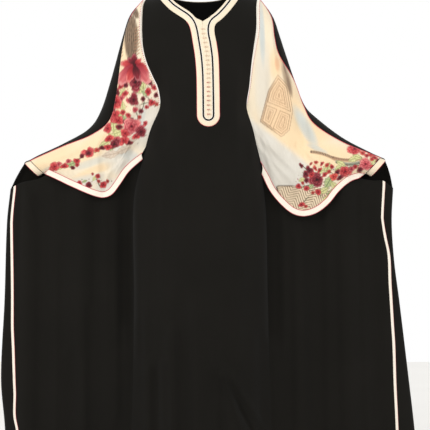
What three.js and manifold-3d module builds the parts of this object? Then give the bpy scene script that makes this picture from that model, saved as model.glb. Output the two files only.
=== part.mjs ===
// A butterfly abaya: a wide black over-garment with printed sleeve fronts, as it hangs when it is worn
// with both arms held out and down. Millimetres, +Z up. The garment faces -Y, so the wearer's left is +X.
// The origin is midway between the shoulders, level with the sides of the neck, where the body carries it.
// Every cloth piece is a wall around a sheet of points that small tables of real sizes describe.
import * as THREE from "three";
import { mergeVertices } from "three/addons/utils/BufferGeometryUtils.js";
import Module from "manifold-3d";

const wasm = await Module();
wasm.setup();

// Driving dimensions.
const LENGTH = 1450; // side of the neck to the hem
const BLACK_CLOTH = 2; // wall of the black crepe
const PRINT_CLOTH = 1.5; // wall of the printed sleeve cloth
const TRIM_CLOTH = 1.5; // wall of the ivory bands
const SEAM_GAP = 1; // between two panels that are sewn edge to edge
const ARMHOLE_GAP = 1.8; // the same where the sleeve meets the front panel at an angle
const SLEEVE_SEAM_GAP = 1.8; // the same along the top of the arm
const LAY_GAP = 0.5; // between a panel and a band that lies on it
const NECK_BAND = 15; // ivory band from its outer edge to the black cord
const NECK_INNER_BAND = 10; // ivory band from the cord to the neck opening
const NECK_CORD = 3.2; // width of the black cord
const NECK_POINT = { x: 0, z: -95 }; // lowest point of the neck opening
const HEM_BAND = 16; // ivory band along a sleeve's lower edge
const CUFF_WIDTH = 17; // ivory band round the wrist
const CUFF_GAP = 1.2; // between the sleeve's end and the cuff
const CUFF_INSET = 4.8; // of the cuff's ring from the back panel that passes over it
const CUFF_STEPS = 20;
const WRIST_FALL = 28; // degrees by which the arm points down at the wrist
const SIDE_BRAID = 7; // ivory braid down each side
const BUTTONS = 20;
const BUTTON_RADIUS = 2.6;
const SHOULDER_TURN = 110; // drop over which the front turns from level to upright
const SHOULDER_SLOPE = { from: 0.5, over: 0.62 }; // shares of the half width where the shoulder falls
const SLOPE_FADE = 240; // depth at which the front's rows lie level again below the shoulder's slope
const FOLD_FADE = 300; // depth at which the front's folds have reached their full depth
const BACK_FADE = 330; // drop over which the back's turn passes into its skirt
const WING_FADE = 0.3; // share of a wing's width over which it leaves the body's edge
const SEAM_FADE = 0.12; // share of a wing's width over which folds die out at the side seam
const UNDER_WRIST = { band: -158, edge: -176 }; // degrees round the wrist where the hem band ends
const ARMHOLE_TRIM_END = -322; // the ivory armhole trim stops at this height
const TRIM_INSET = 1.2; // of the trim from the armhole edge

const COLOURS = { black: 0x1c1a18, print: 0xe9dfcb, ivory: 0xf6efe0, cord: 0x15130f, knot: 0xcfae94 };

// The body of the front panel at each height: how far the centre stands forward, how far its edge does,
// and the angle through which it rounds from the one to the other.
const FRONT_BODY = [
  { z: 0, depth: 92, edge: 54, round: 50 },
  { z: -110, depth: 97, edge: 60, round: 52 },
  { z: -200, depth: 113, edge: 67, round: 55 },
  { z: -290, depth: 131, edge: 74, round: 58 },
  { z: -340, depth: 133, edge: 72, round: 62 },
  { z: -440, depth: 126, edge: 54, round: 76 },
  { z: -520, depth: 122, edge: 38, round: 84 },
  { z: -600, depth: 122, edge: 30, round: 86 },
  { z: -760, depth: 126, edge: 28, round: 86 },
  { z: -900, depth: 126, edge: 28, round: 82 },
  { z: -1050, depth: 124, edge: 32, round: 72 },
  { z: -1250, depth: 130, edge: 38, round: 62 },
  { z: -1450, depth: 144, edge: 46, round: 56 },
];

// The back panel at each height: how far its centre stands back, and how far its wings do.
const BACK_BODY = [
  { z: 0, depth: 92, wing: 46 },
  { z: -200, depth: 97, wing: 44 },
  { z: -430, depth: 88, wing: 34 },
  { z: -560, depth: 100, wing: 27 },
  { z: -660, depth: 112, wing: 25 },
  { z: -850, depth: 116, wing: 25 },
  { z: -1150, depth: 124, wing: 28 },
  { z: -1450, depth: 140, wing: 34 },
];
const BACK_BODY_HALF_WIDTH = 245;

// The back panel is one cloth. Its wall is parted beside the body and below the arms, so that each solid
// bends round one hollow only.
const BACK_PARTS = { side: 165, level: -560, gap: 0.4 };

// What differs between the two sides of the garment as it is held. Distances from the middle are positive.
// side: armhole edge and, below it, the upright fold beside the body. outer: side seam of the wing.
// braid: inset of the braid from the side seam. top: line of the shoulder and the arm from the armhole to
// the wing's upper corner, where lean turns the cloth from straight down towards the body, drop and depth
// are the half sizes of its turn, seam is how far the back panel comes over to the front, hem is the
// column's place in the wing at the hem, and steps is the number of columns up to the next row.
// trim: width of the ivory trim. hem: lower edge of the sleeve front. corner: where the hem band's upper
// edge meets the body. wing: upper edge of the black wing that hangs behind it.
const RIGHT = {
  name: "right",
  sign: -1,
  side: [
    { z: -22, x: 160 },
    { z: -45, x: 167 },
    { z: -110, x: 169 },
    { z: -162, x: 166 },
    { z: -204, x: 156 },
    { z: -244, x: 139 },
    { z: -274, x: 125 },
    { z: -311, x: 118 },
    { z: -336, x: 121 },
    { z: -392, x: 145 },
    { z: -440, x: 159 },
    { z: -480, x: 170 },
    { z: -560, x: 190 },
    { z: -640, x: 196 },
    { z: -870, x: 193 },
    { z: -1450, x: 208 },
  ],
  outer: [
    { z: -557, x: 543 },
    { z: -650, x: 553 },
    { z: -868, x: 560 },
    { z: -1092, x: 570 },
    { z: -1230, x: 559 },
    { z: -1450, x: 550 },
  ],
  braid: [
    { z: -557, x: 14 },
    { z: -640, x: 18 },
    { z: -868, x: 27 },
    { z: -977, x: 36 },
    { z: -1086, x: 40 },
    { z: -1165, x: 33 },
    { z: -1215, x: 38 },
    { z: -1450, x: 44 },
  ],
  top: [
    { x: 161.5, z: -22, y: 0, lean: 8, drop: 82, depth: 68, seam: 0, hem: 0.27, steps: 1 },
    { x: 173, z: -29, y: 0, lean: 18, drop: 74, depth: 64, seam: 2, hem: 0.3, steps: 1 },
    { x: 205, z: -66, y: 0, lean: 50, drop: 60, depth: 57, seam: 6, hem: 0.38, steps: 2 },
    { x: 224, z: -120, y: -1, lean: 66, drop: 55, depth: 55, seam: 10, hem: 0.44, steps: 2 },
    { x: 260, z: -252, y: -4, lean: 68, drop: 52, depth: 53, seam: 31, hem: 0.57, steps: 2 },
    { x: 288, z: -338, y: -6, lean: 58, drop: 50, depth: 51, seam: 38, hem: 0.67, steps: 2 },
    { x: 322, z: -388, y: -8, lean: 42, drop: 46, depth: 49, seam: 22, hem: 0.75, steps: 2 },
    { x: 390, z: -428, y: -11, lean: 34, drop: 38, depth: 43, seam: 9, hem: 0.84, steps: 2 },
    { x: 462, z: -462, y: -13, lean: 40, drop: 30, depth: 34, seam: 6, hem: 0.91, steps: 1 },
    { x: 486, z: -475, y: -14, lean: 46, drop: 27, depth: 29, seam: 4, hem: 0.935, steps: 1 },
    { x: 503, z: -484.5, y: -14, lean: 50, drop: 27, depth: 29, seam: 0, hem: 0.955, steps: 1 },
    { x: 525, z: -520, y: -8, lean: 34, drop: 22, depth: 21, seam: 0, hem: 0.98, steps: 1 },
    { x: 543, z: -557, y: 1.3, lean: 0, drop: 14, depth: 0, seam: 0, hem: 1, steps: 0 },
  ],
  trim: [
    { z: -22, width: 14 },
    { z: -120, width: 13 },
    { z: -170, width: 8 },
    { z: -230, width: 6 },
    { z: -320, width: 5 },
  ],
  hem: [
    { x: 168, z: -474, y: -57 },
    { x: 206, z: -508, y: -54 },
    { x: 232, z: -545, y: -52 },
    { x: 254, z: -572, y: -48 },
    { x: 278, z: -581, y: -48 },
    { x: 304, z: -576, y: -48 },
    { x: 338, z: -563, y: -48 },
    { x: 376, z: -546, y: -47 },
    { x: 415, z: -527, y: -42 },
    { x: 450, z: -512, y: -31 },
  ],
  corner: { x: 168, y: -59, z: -456 },
  wing: [
    { x: 159, z: -440 },
    { x: 250, z: -462 },
    { x: 350, z: -488 },
    { x: 425, z: -512 },
    { x: 450, z: -526 },
    { x: 474, z: -532 },
    { x: 512, z: -540 },
    { x: 543, z: -557 },
  ],
};

const LEFT = {
  name: "left",
  sign: 1,
  side: [
    { z: -22, x: 152 },
    { z: -45, x: 149 },
    { z: -110, x: 148 },
    { z: -162, x: 141 },
    { z: -204, x: 135 },
    { z: -244, x: 131 },
    { z: -274, x: 128 },
    { z: -311, x: 122 },
    { z: -336, x: 122 },
    { z: -392, x: 139 },
    { z: -440, x: 150 },
    { z: -480, x: 160 },
    { z: -560, x: 170 },
    { z: -640, x: 177 },
    { z: -870, x: 182 },
    { z: -1450, x: 200 },
  ],
  outer: [
    { z: -554, x: 536 },
    { z: -650, x: 532 },
    { z: -760, x: 539 },
    { z: -868, x: 553 },
    { z: -1092, x: 580 },
    { z: -1230, x: 596 },
    { z: -1450, x: 617 },
  ],
  braid: [
    { z: -554, x: 29 },
    { z: -613, x: 21 },
    { z: -655, x: 15 },
    { z: -690, x: 15 },
    { z: -760, x: 21 },
    { z: -868, x: 28 },
    { z: -941, x: 32 },
    { z: -1050, x: 41 },
    { z: -1123, x: 46 },
    { z: -1226, x: 52 },
    { z: -1450, x: 58 },
  ],
  top: [
    { x: 153.5, z: -22, y: 0, lean: 8, drop: 82, depth: 68, seam: 0, hem: 0.26, steps: 1 },
    { x: 166, z: -29, y: 0, lean: 18, drop: 74, depth: 64, seam: 2, hem: 0.29, steps: 1 },
    { x: 197, z: -72, y: 0, lean: 52, drop: 60, depth: 57, seam: 7, hem: 0.37, steps: 2 },
    { x: 216, z: -126, y: -1, lean: 64, drop: 55, depth: 55, seam: 18, hem: 0.43, steps: 1 },
    { x: 232, z: -175, y: -2, lean: 66, drop: 54, depth: 54, seam: 21, hem: 0.48, steps: 1 },
    { x: 258, z: -252, y: -4, lean: 68, drop: 52, depth: 53, seam: 3, hem: 0.56, steps: 2 },
    { x: 286, z: -322, y: -6, lean: 58, drop: 50, depth: 51, seam: 5, hem: 0.66, steps: 2 },
    { x: 324, z: -361, y: -8, lean: 42, drop: 46, depth: 49, seam: 20, hem: 0.74, steps: 2 },
    { x: 394, z: -414, y: -11, lean: 34, drop: 40, depth: 43, seam: 13, hem: 0.84, steps: 2 },
    { x: 472, z: -455, y: -13, lean: 37, drop: 33, depth: 36, seam: 5, hem: 0.92, steps: 1 },
    { x: 498, z: -467, y: -14, lean: 42, drop: 31, depth: 32, seam: 3, hem: 0.945, steps: 1 },
    { x: 513, z: -476.5, y: -14, lean: 45, drop: 31, depth: 32, seam: 0, hem: 0.96, steps: 1 },
    { x: 527, z: -514, y: -8, lean: 32, drop: 24, depth: 22, seam: 0, hem: 0.98, steps: 1 },
    { x: 535, z: -554, y: 1.3, lean: 0, drop: 14, depth: 0, seam: 0, hem: 1, steps: 0 },
  ],
  trim: [
    { z: -22, width: 15 },
    { z: -110, width: 14 },
    { z: -180, width: 10 },
    { z: -260, width: 6 },
    { z: -320, width: 4 },
  ],
  hem: [
    { x: 164, z: -515, y: -52 },
    { x: 187, z: -562, y: -51 },
    { x: 218, z: -600, y: -50 },
    { x: 249, z: -625, y: -49 },
    { x: 282, z: -633, y: -49 },
    { x: 318, z: -623, y: -48 },
    { x: 352, z: -597, y: -47 },
    { x: 380, z: -563, y: -45 },
    { x: 412, z: -536, y: -40 },
    { x: 448, z: -524, y: -31 },
  ],
  corner: { x: 161, y: -56, z: -480 },
  wing: [
    { x: 150, z: -440 },
    { x: 250, z: -468 },
    { x: 350, z: -498 },
    { x: 425, z: -524 },
    { x: 474, z: -533 },
    { x: 505, z: -534 },
    { x: 535, z: -554 },
  ],
};

// Soft folds as strokes in the front view, from one end to the other, each with its half width and how far
// the cloth comes forward (or, below nought, goes back) along it. Signed X.
const FRONT_FOLDS = [
  { x1: -214, z1: -560, x2: -212, z2: -900, width: 34, depth: -11 },
  { x1: 198, z1: -600, x2: 202, z2: -950, width: 34, depth: -11 },
  { x1: -345, z1: -560, x2: -338, z2: -1450, width: 42, depth: 11 },
  { x1: -272, z1: -600, x2: -258, z2: -1200, width: 36, depth: 8 },
  { x1: -365, z1: -1060, x2: -372, z2: -1450, width: 34, depth: -9 },
  { x1: -448, z1: -620, x2: -455, z2: -1450, width: 44, depth: -8 },
  { x1: -492, z1: -590, x2: -500, z2: -1450, width: 30, depth: 7 },
  { x1: 322, z1: -640, x2: 330, z2: -1300, width: 38, depth: -9 },
  { x1: 398, z1: -560, x2: 416, z2: -1450, width: 40, depth: 11 },
  { x1: 262, z1: -700, x2: 275, z2: -1450, width: 38, depth: 10 },
  { x1: 470, z1: -640, x2: 505, z2: -1450, width: 32, depth: -8 },
  { x1: -122, z1: -1080, x2: -118, z2: -1450, width: 32, depth: -14 },
  { x1: -58, z1: -880, x2: -50, z2: -1450, width: 36, depth: -10 },
  { x1: -86, z1: -980, x2: -84, z2: -1450, width: 30, depth: 12 },
  { x1: 36, z1: -1090, x2: 44, z2: -1450, width: 30, depth: -12 },
  { x1: 62, z1: -1090, x2: 122, z2: -1450, width: 30, depth: 12 },
  { x1: 92, z1: -420, x2: 78, z2: -980, width: 46, depth: 6 },
  { x1: 118, z1: -190, x2: 112, z2: -470, width: 26, depth: -5 },
  { x1: -118, z1: -230, x2: -104, z2: -400, width: 24, depth: -5 },
  { x1: 158, z1: -1000, x2: 172, z2: -1450, width: 34, depth: -11 },
];

const BACK_FOLDS = [
  { x1: 0, z1: -240, x2: -6, z2: -1450, width: 58, depth: -12 },
  { x1: -112, z1: -300, x2: -130, z2: -1450, width: 54, depth: 12 },
  { x1: 118, z1: -330, x2: 128, z2: -1450, width: 54, depth: 12 },
  { x1: -200, z1: -240, x2: -214, z2: -1450, width: 44, depth: -12 },
  { x1: 196, z1: -240, x2: 216, z2: -1450, width: 44, depth: -12 },
  { x1: -290, z1: -520, x2: -300, z2: -1450, width: 48, depth: 10 },
  { x1: 292, z1: -500, x2: 310, z2: -1450, width: 48, depth: 10 },
  { x1: -372, z1: -560, x2: -386, z2: -1450, width: 42, depth: -8 },
  { x1: 378, z1: -540, x2: 402, z2: -1450, width: 42, depth: -8 },
  { x1: -452, z1: -600, x2: -464, z2: -1450, width: 40, depth: 8 },
  { x1: 458, z1: -620, x2: 492, z2: -1450, width: 40, depth: 8 },
];

const SLEEVE_FOLDS = {
  right: [
    { x1: -196, z1: -250, x2: -214, z2: -420, width: 30, depth: 7 },
    { x1: -262, z1: -400, x2: -250, z2: -520, width: 30, depth: -7 },
    { x1: -300, z1: -428, x2: -300, z2: -540, width: 30, depth: 8 },
    { x1: -352, z1: -450, x2: -352, z2: -520, width: 26, depth: -5 },
    { x1: -398, z1: -462, x2: -404, z2: -510, width: 22, depth: 4 },
  ],
  left: [
    { x1: 176, z1: -80, x2: 164, z2: -260, width: 22, depth: -6 },
    { x1: 150, z1: -400, x2: 262, z2: -520, width: 30, depth: 8 },
    { x1: 244, z1: -300, x2: 306, z2: -470, width: 30, depth: -7 },
    { x1: 306, z1: -470, x2: 400, z2: -500, width: 26, depth: 7 },
    { x1: 216, z1: -500, x2: 250, z2: -590, width: 32, depth: -6 },
    { x1: 330, z1: -520, x2: 316, z2: -600, width: 30, depth: 6 },
  ],
};

// The ivory neck band: centre and half width of its outer edge at each height, down to where its round
// end begins.
const NECKLINE = [
  { z: 40, centre: -10, half: 128 },
  { z: 5, centre: -10, half: 126 },
  { z: -28, centre: -10, half: 109 },
  { z: -58, centre: -7.5, half: 86 },
  { z: -74, centre: -3.5, half: 69 },
  { z: -89, centre: 0, half: 51 },
  { z: -103, centre: -2, half: 37 },
  { z: -122, centre: -0.5, half: 32 },
  { z: -154, centre: 5, half: 32 },
  { z: -196, centre: 11, half: 31.5 },
  { z: -250, centre: 14, half: 30.5 },
  { z: -356, centre: 15.5, half: 30.5 },
];
const BACK_NECK = { centre: -10, half: 126, depth: 52, top: 5 };

// Columns across half of the body and down the panels, as shares and as depths below the shoulder line.
const BODY_COLUMNS = [0, 0.16, 0.32, 0.48, 0.62, 0.74, 0.84, 0.93, 1];
const WING_COLUMNS = [0.06, 0.13, 0.2, 0.27, 0.34, 0.41, 0.48, 0.56, 0.64, 0.72, 0.79, 0.86];
const ARMHOLE_ROWS = [0, 4, 14, 32, 60, 100, 150, 204, 250, 285, 316, 350, 392, 440];
const SKIRT_ROWS = [480, 530, 600, 690, 790, 900, 1010, 1120, 1230, 1340, 1450];
const TURN_SHARES = [0, 0.12, 0.28, 0.48, 0.72, 1];
const FALL_SHARES = [0.04, 0.1, 0.18, 0.27, 0.37, 0.48, 0.59, 0.7, 0.8, 0.9, 1];

const RADIANS = Math.PI / 180;
const mix = (a, b, t) => a + (b - a) * t;
const clamp = (t) => Math.min(1, Math.max(0, t));
const ease = (t) => clamp(t) ** 2 * (3 - 2 * clamp(t));

// The value of a table's column at a place along its key column, on a smooth curve through its rows.
function smooth(table, key, at, column) {
  const rising = table[table.length - 1][key] > table[0][key] ? 1 : -1;
  const last = table.length - 1;
  const slope = (i) => {
    const a = table[Math.max(0, i - 1)];
    const b = table[Math.min(last, i + 1)];
    return (b[column] - a[column]) / (b[key] - a[key]);
  };
  if ((at - table[0][key]) * rising <= 0) return table[0][column];
  if ((at - table[last][key]) * rising >= 0) return table[last][column];
  let i = 0;
  while ((at - table[i + 1][key]) * rising > 0) i++;
  const span = table[i + 1][key] - table[i][key];
  const t = (at - table[i][key]) / span;
  const bend = t * t * (3 - 2 * t);
  return (
    mix(table[i][column], table[i + 1][column], bend) +
    span * t * (1 - t) * ((1 - t) * slope(i) - t * slope(i + 1))
  );
}

// How far the folds bring the cloth forward at a point of the front view.
function foldDepth(x, z, folds) {
  let sum = 0;
  for (const f of folds) {
    const dx = f.x2 - f.x1;
    const dz = f.z2 - f.z1;
    const t = clamp(((x - f.x1) * dx + (z - f.z1) * dz) / (dx * dx + dz * dz));
    const away = Math.hypot(x - f.x1 - t * dx, (z - f.z1 - t * dz) * 0.5) / f.width;
    if (away < 1) sum += f.depth * (1 - away * away) ** 2;
  }
  return sum;
}

// Height of the shoulder line over a share u of the way from the middle to the armhole.
function shoulder(half, u) {
  const { from, over } = SHOULDER_SLOPE;
  return (half.top[0].z * ease((u - from) / over)) / ease((1 - from) / over);
}

// A point of the front panel's body, at the share u of its half width and the depth h below the shoulder.
function frontBodyPoint(half, u, h) {
  const line = shoulder(half, u);
  const z = -h + line * (1 - ease(h / SLOPE_FADE));
  const row = (column) => smooth(FRONT_BODY, "z", z, column);
  const widest = row("round") * RADIANS;
  const turned = u * widest;
  const x = (smooth(half.side, "z", z, "x") * Math.sin(turned)) / Math.sin(widest);
  const arch = (Math.cos(turned) - Math.cos(widest)) / (1 - Math.cos(widest));
  const rise = Math.sqrt(1 - (1 - clamp((line - z) / SHOULDER_TURN)) ** 2);
  const forward = mix(row("edge"), row("depth"), arch) * rise;
  const fold = foldDepth(half.sign * x, z, FRONT_FOLDS) * ease(h / FOLD_FADE);
  return new THREE.Vector3(half.sign * x, -SEAM_GAP / 2 - forward - fold, z);
}

// A point of the front panel's wing, at the share v of the way out to the side seam.
function frontWingPoint(half, v, h) {
  const first = ARMHOLE_ROWS[ARMHOLE_ROWS.length - 1];
  const place = mix(smooth(half.side, "z", -h, "x"), smooth(half.outer, "z", -h, "x"), v);
  const top = smooth(half.wing, "x", place, "z");
  const z = mix(top, -LENGTH, (h - first) / (LENGTH - first));
  const x = mix(smooth(half.side, "z", z, "x"), smooth(half.outer, "z", z, "x"), v);
  const edge = smooth(FRONT_BODY, "z", z, "edge");
  const wing = smooth(BACK_BODY, "z", z, "wing");
  const forward = mix(edge, wing, ease(v / WING_FADE)) * (1 - v ** 9);
  const fold = foldDepth(half.sign * x, z, FRONT_FOLDS) * ease((1 - v) / SEAM_FADE);
  const seam = BLACK_CLOTH / 2 + SEAM_GAP / 2;
  return new THREE.Vector3(half.sign * x, -seam - forward - fold, z);
}

// Share of the wing's width where the braid has its inner and outer edge, at the depth h.
function braidShare(half, h, out) {
  const place = smooth(half.outer, "z", -h, "x");
  const width = place - smooth(half.side, "z", -h, "x");
  return 1 - (smooth(half.braid, "z", -h, "x") + (out ? -0.5 : 0.5) * SIDE_BRAID) / width;
}

// The front panel from one side seam to the other. Above the wings only the body has points.
function frontGrid() {
  const rows = [...ARMHOLE_ROWS, ...SKIRT_ROWS];
  const first = ARMHOLE_ROWS.length - 1;
  const wing = (half, h, j) =>
    [
      ...WING_COLUMNS,
      braidShare(half, h, false),
      braidShare(half, h, true),
      1,
    ].map((v) => (j < first ? null : frontWingPoint(half, v, h)));
  return rows.map((h, j) => [
    ...wing(RIGHT, h, j).reverse(),
    ...BODY_COLUMNS.slice(1)
      .reverse()
      .map((u) => frontBodyPoint(RIGHT, u, h)),
    ...BODY_COLUMNS.map((u) => frontBodyPoint(LEFT, u, h)),
    ...wing(LEFT, h, j),
  ]);
}

// The columns of the arm's top line: each row of the table, and the steps between it and the next.
function armStations(half) {
  const rows = half.top.map((row, i) => ({ ...row, i }));
  const stations = [];
  rows.forEach((row, i) => {
    for (let k = 0; k < Math.max(1, row.steps); k++) {
      const at = i + k / Math.max(1, row.steps);
      const column = (name) => smooth(rows, "i", at, name);
      stations.push({
        x: column("x"),
        z: column("z"),
        y: column("y"),
        lean: column("lean"),
        drop: column("drop"),
        depth: column("depth"),
        seam: Math.max(0, column("seam")),
        hem: column("hem"),
        row: at,
      });
    }
  });
  return stations;
}

// The same for the shoulder, from the middle of the neck to the armhole.
function bodyStations(half) {
  const armhole = half.top[0];
  return BODY_COLUMNS.slice(0, -1).map((u) => ({
    x: frontBodyPoint(half, u, 0).x * half.sign,
    z: shoulder(half, u),
    y: 0,
    lean: armhole.lean * u ** 3,
    drop: mix(SHOULDER_TURN, armhole.drop, ease(u)),
    depth: mix(BACK_BODY[0].depth, armhole.depth, u ** 3),
    seam: 0,
    hem: armhole.hem * u,
  }));
}

// A point on the turn of the cloth over a station: angle 0 is its top, 90 the back and -90 the front.
function turnPoint(half, station, angle) {
  const inward = station.drop * (1 - Math.cos(angle * RADIANS));
  const lean = station.lean * RADIANS;
  return new THREE.Vector3(
    half.sign * (station.x - inward * Math.sin(lean)),
    station.y + station.depth * Math.sin(angle * RADIANS),
    station.z - inward * Math.cos(lean),
  );
}

const seamAngle = (station) => -Math.acos(1 - station.seam / station.drop) / RADIANS;

// A point of the back panel's skirt in the front view.
function backDepth(half, x, z) {
  const share = x / smooth(half.outer, "z", z, "x");
  const wing = smooth(BACK_BODY, "z", z, "wing") * (1 - clamp(share) ** 9);
  const bell = (1 - clamp(x / BACK_BODY_HALF_WIDTH) ** 2) ** 1.4;
  const fold = foldDepth(half.sign * x, z, BACK_FOLDS) * ease((1 - share) / SEAM_FADE);
  return mix(wing, smooth(BACK_BODY, "z", z, "depth"), bell) + fold;
}

function backColumn(half, station) {
  const start = seamAngle(station);
  const seam = BLACK_CLOTH / 2 + SEAM_GAP / 2;
  const points = TURN_SHARES.map((share) => turnPoint(half, station, mix(start, 90, share)));
  if (station.seam < 0.01) points.forEach((p) => (p.y = Math.max(p.y, SEAM_GAP / 2)));
  const last = points[points.length - 1];
  const turn = Math.abs(last.x) / smooth(half.outer, "z", last.z, "x");
  for (const share of FALL_SHARES) {
    const z = mix(last.z, -LENGTH, share);
    const x = smooth(half.outer, "z", z, "x") * mix(turn, station.hem, ease(share * 1.2));
    const y = mix(last.y, seam + backDepth(half, x, z), ease((last.z - z) / BACK_FADE));
    points.push(new THREE.Vector3(half.sign * x, y, z));
  }
  return points;
}

// The back panel, from one side seam over the back to the other.
function backGrid() {
  const side = (half) => [...bodyStations(half), ...armStations(half)];
  const columns = [
    ...side(RIGHT)
      .slice(1)
      .reverse()
      .map((station) => backColumn(RIGHT, station)),
    ...side(LEFT).map((station) => backColumn(LEFT, station)),
  ];
  return columns[0].map((_, j) => columns.map((column) => column[j]));
}

// A printed sleeve front: it is sewn to the back panel along the arm's top and to the front panel along
// the armhole, closes to the cuff, and hangs free below. Its last row but one is the hem band's upper edge.
function sleeveGrid(half) {
  const stations = armStations(half).filter((station) => station.row <= wristRow(half));
  const wrist = stations[stations.length - 1];
  const inner = sleeveInnerEdge(half);
  const height = inner[0].z - inner[inner.length - 1].z;
  const shares = inner.map((p) => (inner[0].z - p.z) / height);
  const top = stations.map((station) => turnPoint(half, station, sleeveAngle(station)));
  top[0] = inner[0];
  const length = [0];
  for (let i = 1; i < top.length; i++) length.push(length[i - 1] + top[i].distanceTo(top[i - 1]));
  const across = length.map((l) => l / length[length.length - 1]);
  const bottom = across.map((s) => hemPoint(half, s, HEM_BAND));
  bottom[0] = inner[inner.length - 1];
  const cuff = shares.map((t) => turnPoint(half, wrist, mix(sleeveAngle(wrist), UNDER_WRIST.band, t)));
  bottom[bottom.length - 1] = cuff[cuff.length - 1];
  const last = top.length - 1;
  const folded = (point, s, t) => {
    const free = Math.min(1, 14 * s * (1 - s) * t);
    point.y -= foldDepth(point.x, point.z, SLEEVE_FOLDS[half.name]) * free;
    return point;
  };
  const rows = shares.map((t, j) =>
    across.map((s, i) => {
      const point = new THREE.Vector3();
      for (const axis of ["x", "y", "z"]) {
        const lines = mix(top[i][axis], bottom[i][axis], t) + mix(inner[j][axis], cuff[j][axis], s);
        const low = mix(top[0][axis], bottom[0][axis], t);
        const high = mix(top[last][axis], bottom[last][axis], t);
        point[axis] = lines - mix(low, high, s);
      }
      return folded(point, s, t);
    }),
  );
  const hem = across.map((s) => folded(hemPoint(half, s, 0), s, 1));
  hem[last] = turnPoint(half, wrist, UNDER_WRIST.edge);
  return [...rows, hem];
}

const wristRow = (half) => half.top.length - 4;

// The sleeve's edge on the turn over a station, just clear of the back panel's.
function sleeveAngle(station) {
  const radius = (station.depth + station.drop) / 2;
  return seamAngle(station) - (SLEEVE_SEAM_GAP / radius) / RADIANS;
}

// The sleeve's edge beside the body: along the armhole, then down in front of the wing to the hem.
function sleeveInnerEdge(half) {
  const points = ARMHOLE_ROWS.map((h) => {
    const edge = frontBodyPoint(half, 1, Math.max(h, 0.45));
    const inside = frontBodyPoint(half, 0.97, Math.max(h, 0.45));
    const onward = edge.clone().sub(inside).normalize();
    const below = ease((-edge.z - 320) / 90);
    return edge.addScaledVector(onward, ARMHOLE_GAP).add(new THREE.Vector3(0, -6 * below, 0));
  });
  const { x, y, z } = half.corner;
  return [...points, new THREE.Vector3(half.sign * x, y, z)];
}

// A point along the sleeve's lower edge, or the band's width above it.
function hemPoint(half, s, above) {
  const rows = half.hem.map((row, i) => ({ ...row, i }));
  const at = s * (rows.length - 1);
  const read = (place, column) => smooth(rows, "i", place, column);
  const step = 0.02;
  const dx = read(at + step, "x") - read(at - step, "x");
  const dz = read(at + step, "z") - read(at - step, "z");
  const long = Math.hypot(dx, dz);
  return new THREE.Vector3(
    half.sign * (read(at, "x") - (above * dz) / long),
    read(at, "y"),
    read(at, "z") + (above * dx) / long,
  );
}

// A wall on a grid of points, from one distance to another along the grid's own normals. facing is 1 for
// a grid that is seen from +Y and -1 for one that is seen from -Y. A part limits the wall to the faces
// between its first and last row and column, and a ring joins the last column to the first.
function wallGeometry(grid, facing, from, to, part = {}, ring = false) {
  const width = grid[0].length;
  const { rows = [0, grid.length - 1], columns = [0, width - 1] } = part;
  const points = grid.flat();
  const normals = points.map(() => new THREE.Vector3());
  const faces = [];
  for (let j = 0; j + 1 < grid.length; j++)
    for (let i = 0; i + 1 < width + (ring ? 1 : 0); i++) {
      const next = (i + 1) % width;
      const corners = [j * width + i, j * width + next, (j + 1) * width + next, (j + 1) * width + i];
      if (corners.some((key) => !points[key])) continue;
      const [a, b, c, d] = corners.map((key) => points[key]);
      const normal = new THREE.Vector3()
        .crossVectors(c.clone().sub(a), d.clone().sub(b))
        .multiplyScalar(facing)
        .normalize();
      corners.forEach((key) => normals[key].add(normal));
      const inRows = j >= rows[0] && j < rows[1];
      const inColumns = ring || (i >= columns[0] && i < columns[1]);
      if (!inRows || !inColumns) continue;
      const loop = facing > 0 ? corners : [corners[0], corners[3], corners[2], corners[1]];
      const short = a.distanceTo(c) <= b.distanceTo(d) ? 0 : 1;
      const at = (k) => loop[(k + short) % 4];
      faces.push([at(0), at(1), at(2)], [at(0), at(2), at(3)]);
    }
  const index = new Map();
  const positions = [];
  for (const key of new Set(faces.flat())) {
    index.set(key, positions.length / 6);
    const normal = normals[key].normalize();
    for (const distance of [to, from])
      positions.push(...points[key].clone().addScaledVector(normal, distance));
  }
  const outside = (key) => 2 * index.get(key);
  const inside = (key) => 2 * index.get(key) + 1;
  const edges = new Set(faces.flatMap(([a, b, c]) => [`${a} ${b}`, `${b} ${c}`, `${c} ${a}`]));
  const triangles = [];
  for (const [a, b, c] of faces) {
    triangles.push(outside(a), outside(b), outside(c), inside(a), inside(c), inside(b));
    for (const [p, q] of [
      [a, b],
      [b, c],
      [c, a],
    ])
      if (!edges.has(`${q} ${p}`))
        triangles.push(outside(q), outside(p), inside(p), outside(q), inside(p), inside(q));
  }
  const geometry = new THREE.BufferGeometry();
  geometry.setAttribute("position", new THREE.Float32BufferAttribute(positions, 3));
  geometry.setIndex(triangles);
  return geometry;
}

// The same closed geometry as a solid that can be cut and joined, and back again.
function solidOf(geometry) {
  const bare = geometry.clone();
  bare.deleteAttribute("normal");
  bare.deleteAttribute("uv");
  const merged = mergeVertices(bare, 1e-4);
  return new wasm.Manifold(
    new wasm.Mesh({
      numProp: 3,
      vertProperties: merged.getAttribute("position").array,
      triVerts: new Uint32Array(merged.index.array),
    }),
  );
}

function geometryOf(solid) {
  const mesh = solid.getMesh();
  const geometry = new THREE.BufferGeometry();
  geometry.setAttribute("position", new THREE.BufferAttribute(mesh.vertProperties, 3));
  geometry.setIndex(new THREE.BufferAttribute(mesh.triVerts, 1));
  return geometry;
}

// A prism that cuts through the garment from front to back: the outline is in the front view.
function prism(outline, near, far) {
  const shape = new THREE.Shape(outline.map((p) => new THREE.Vector2(p.x, p.z)));
  const block = new THREE.ExtrudeGeometry(shape, { depth: far - near, bevelEnabled: false });
  return solidOf(block.rotateX(Math.PI / 2).translate(0, far, 0));
}

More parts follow.
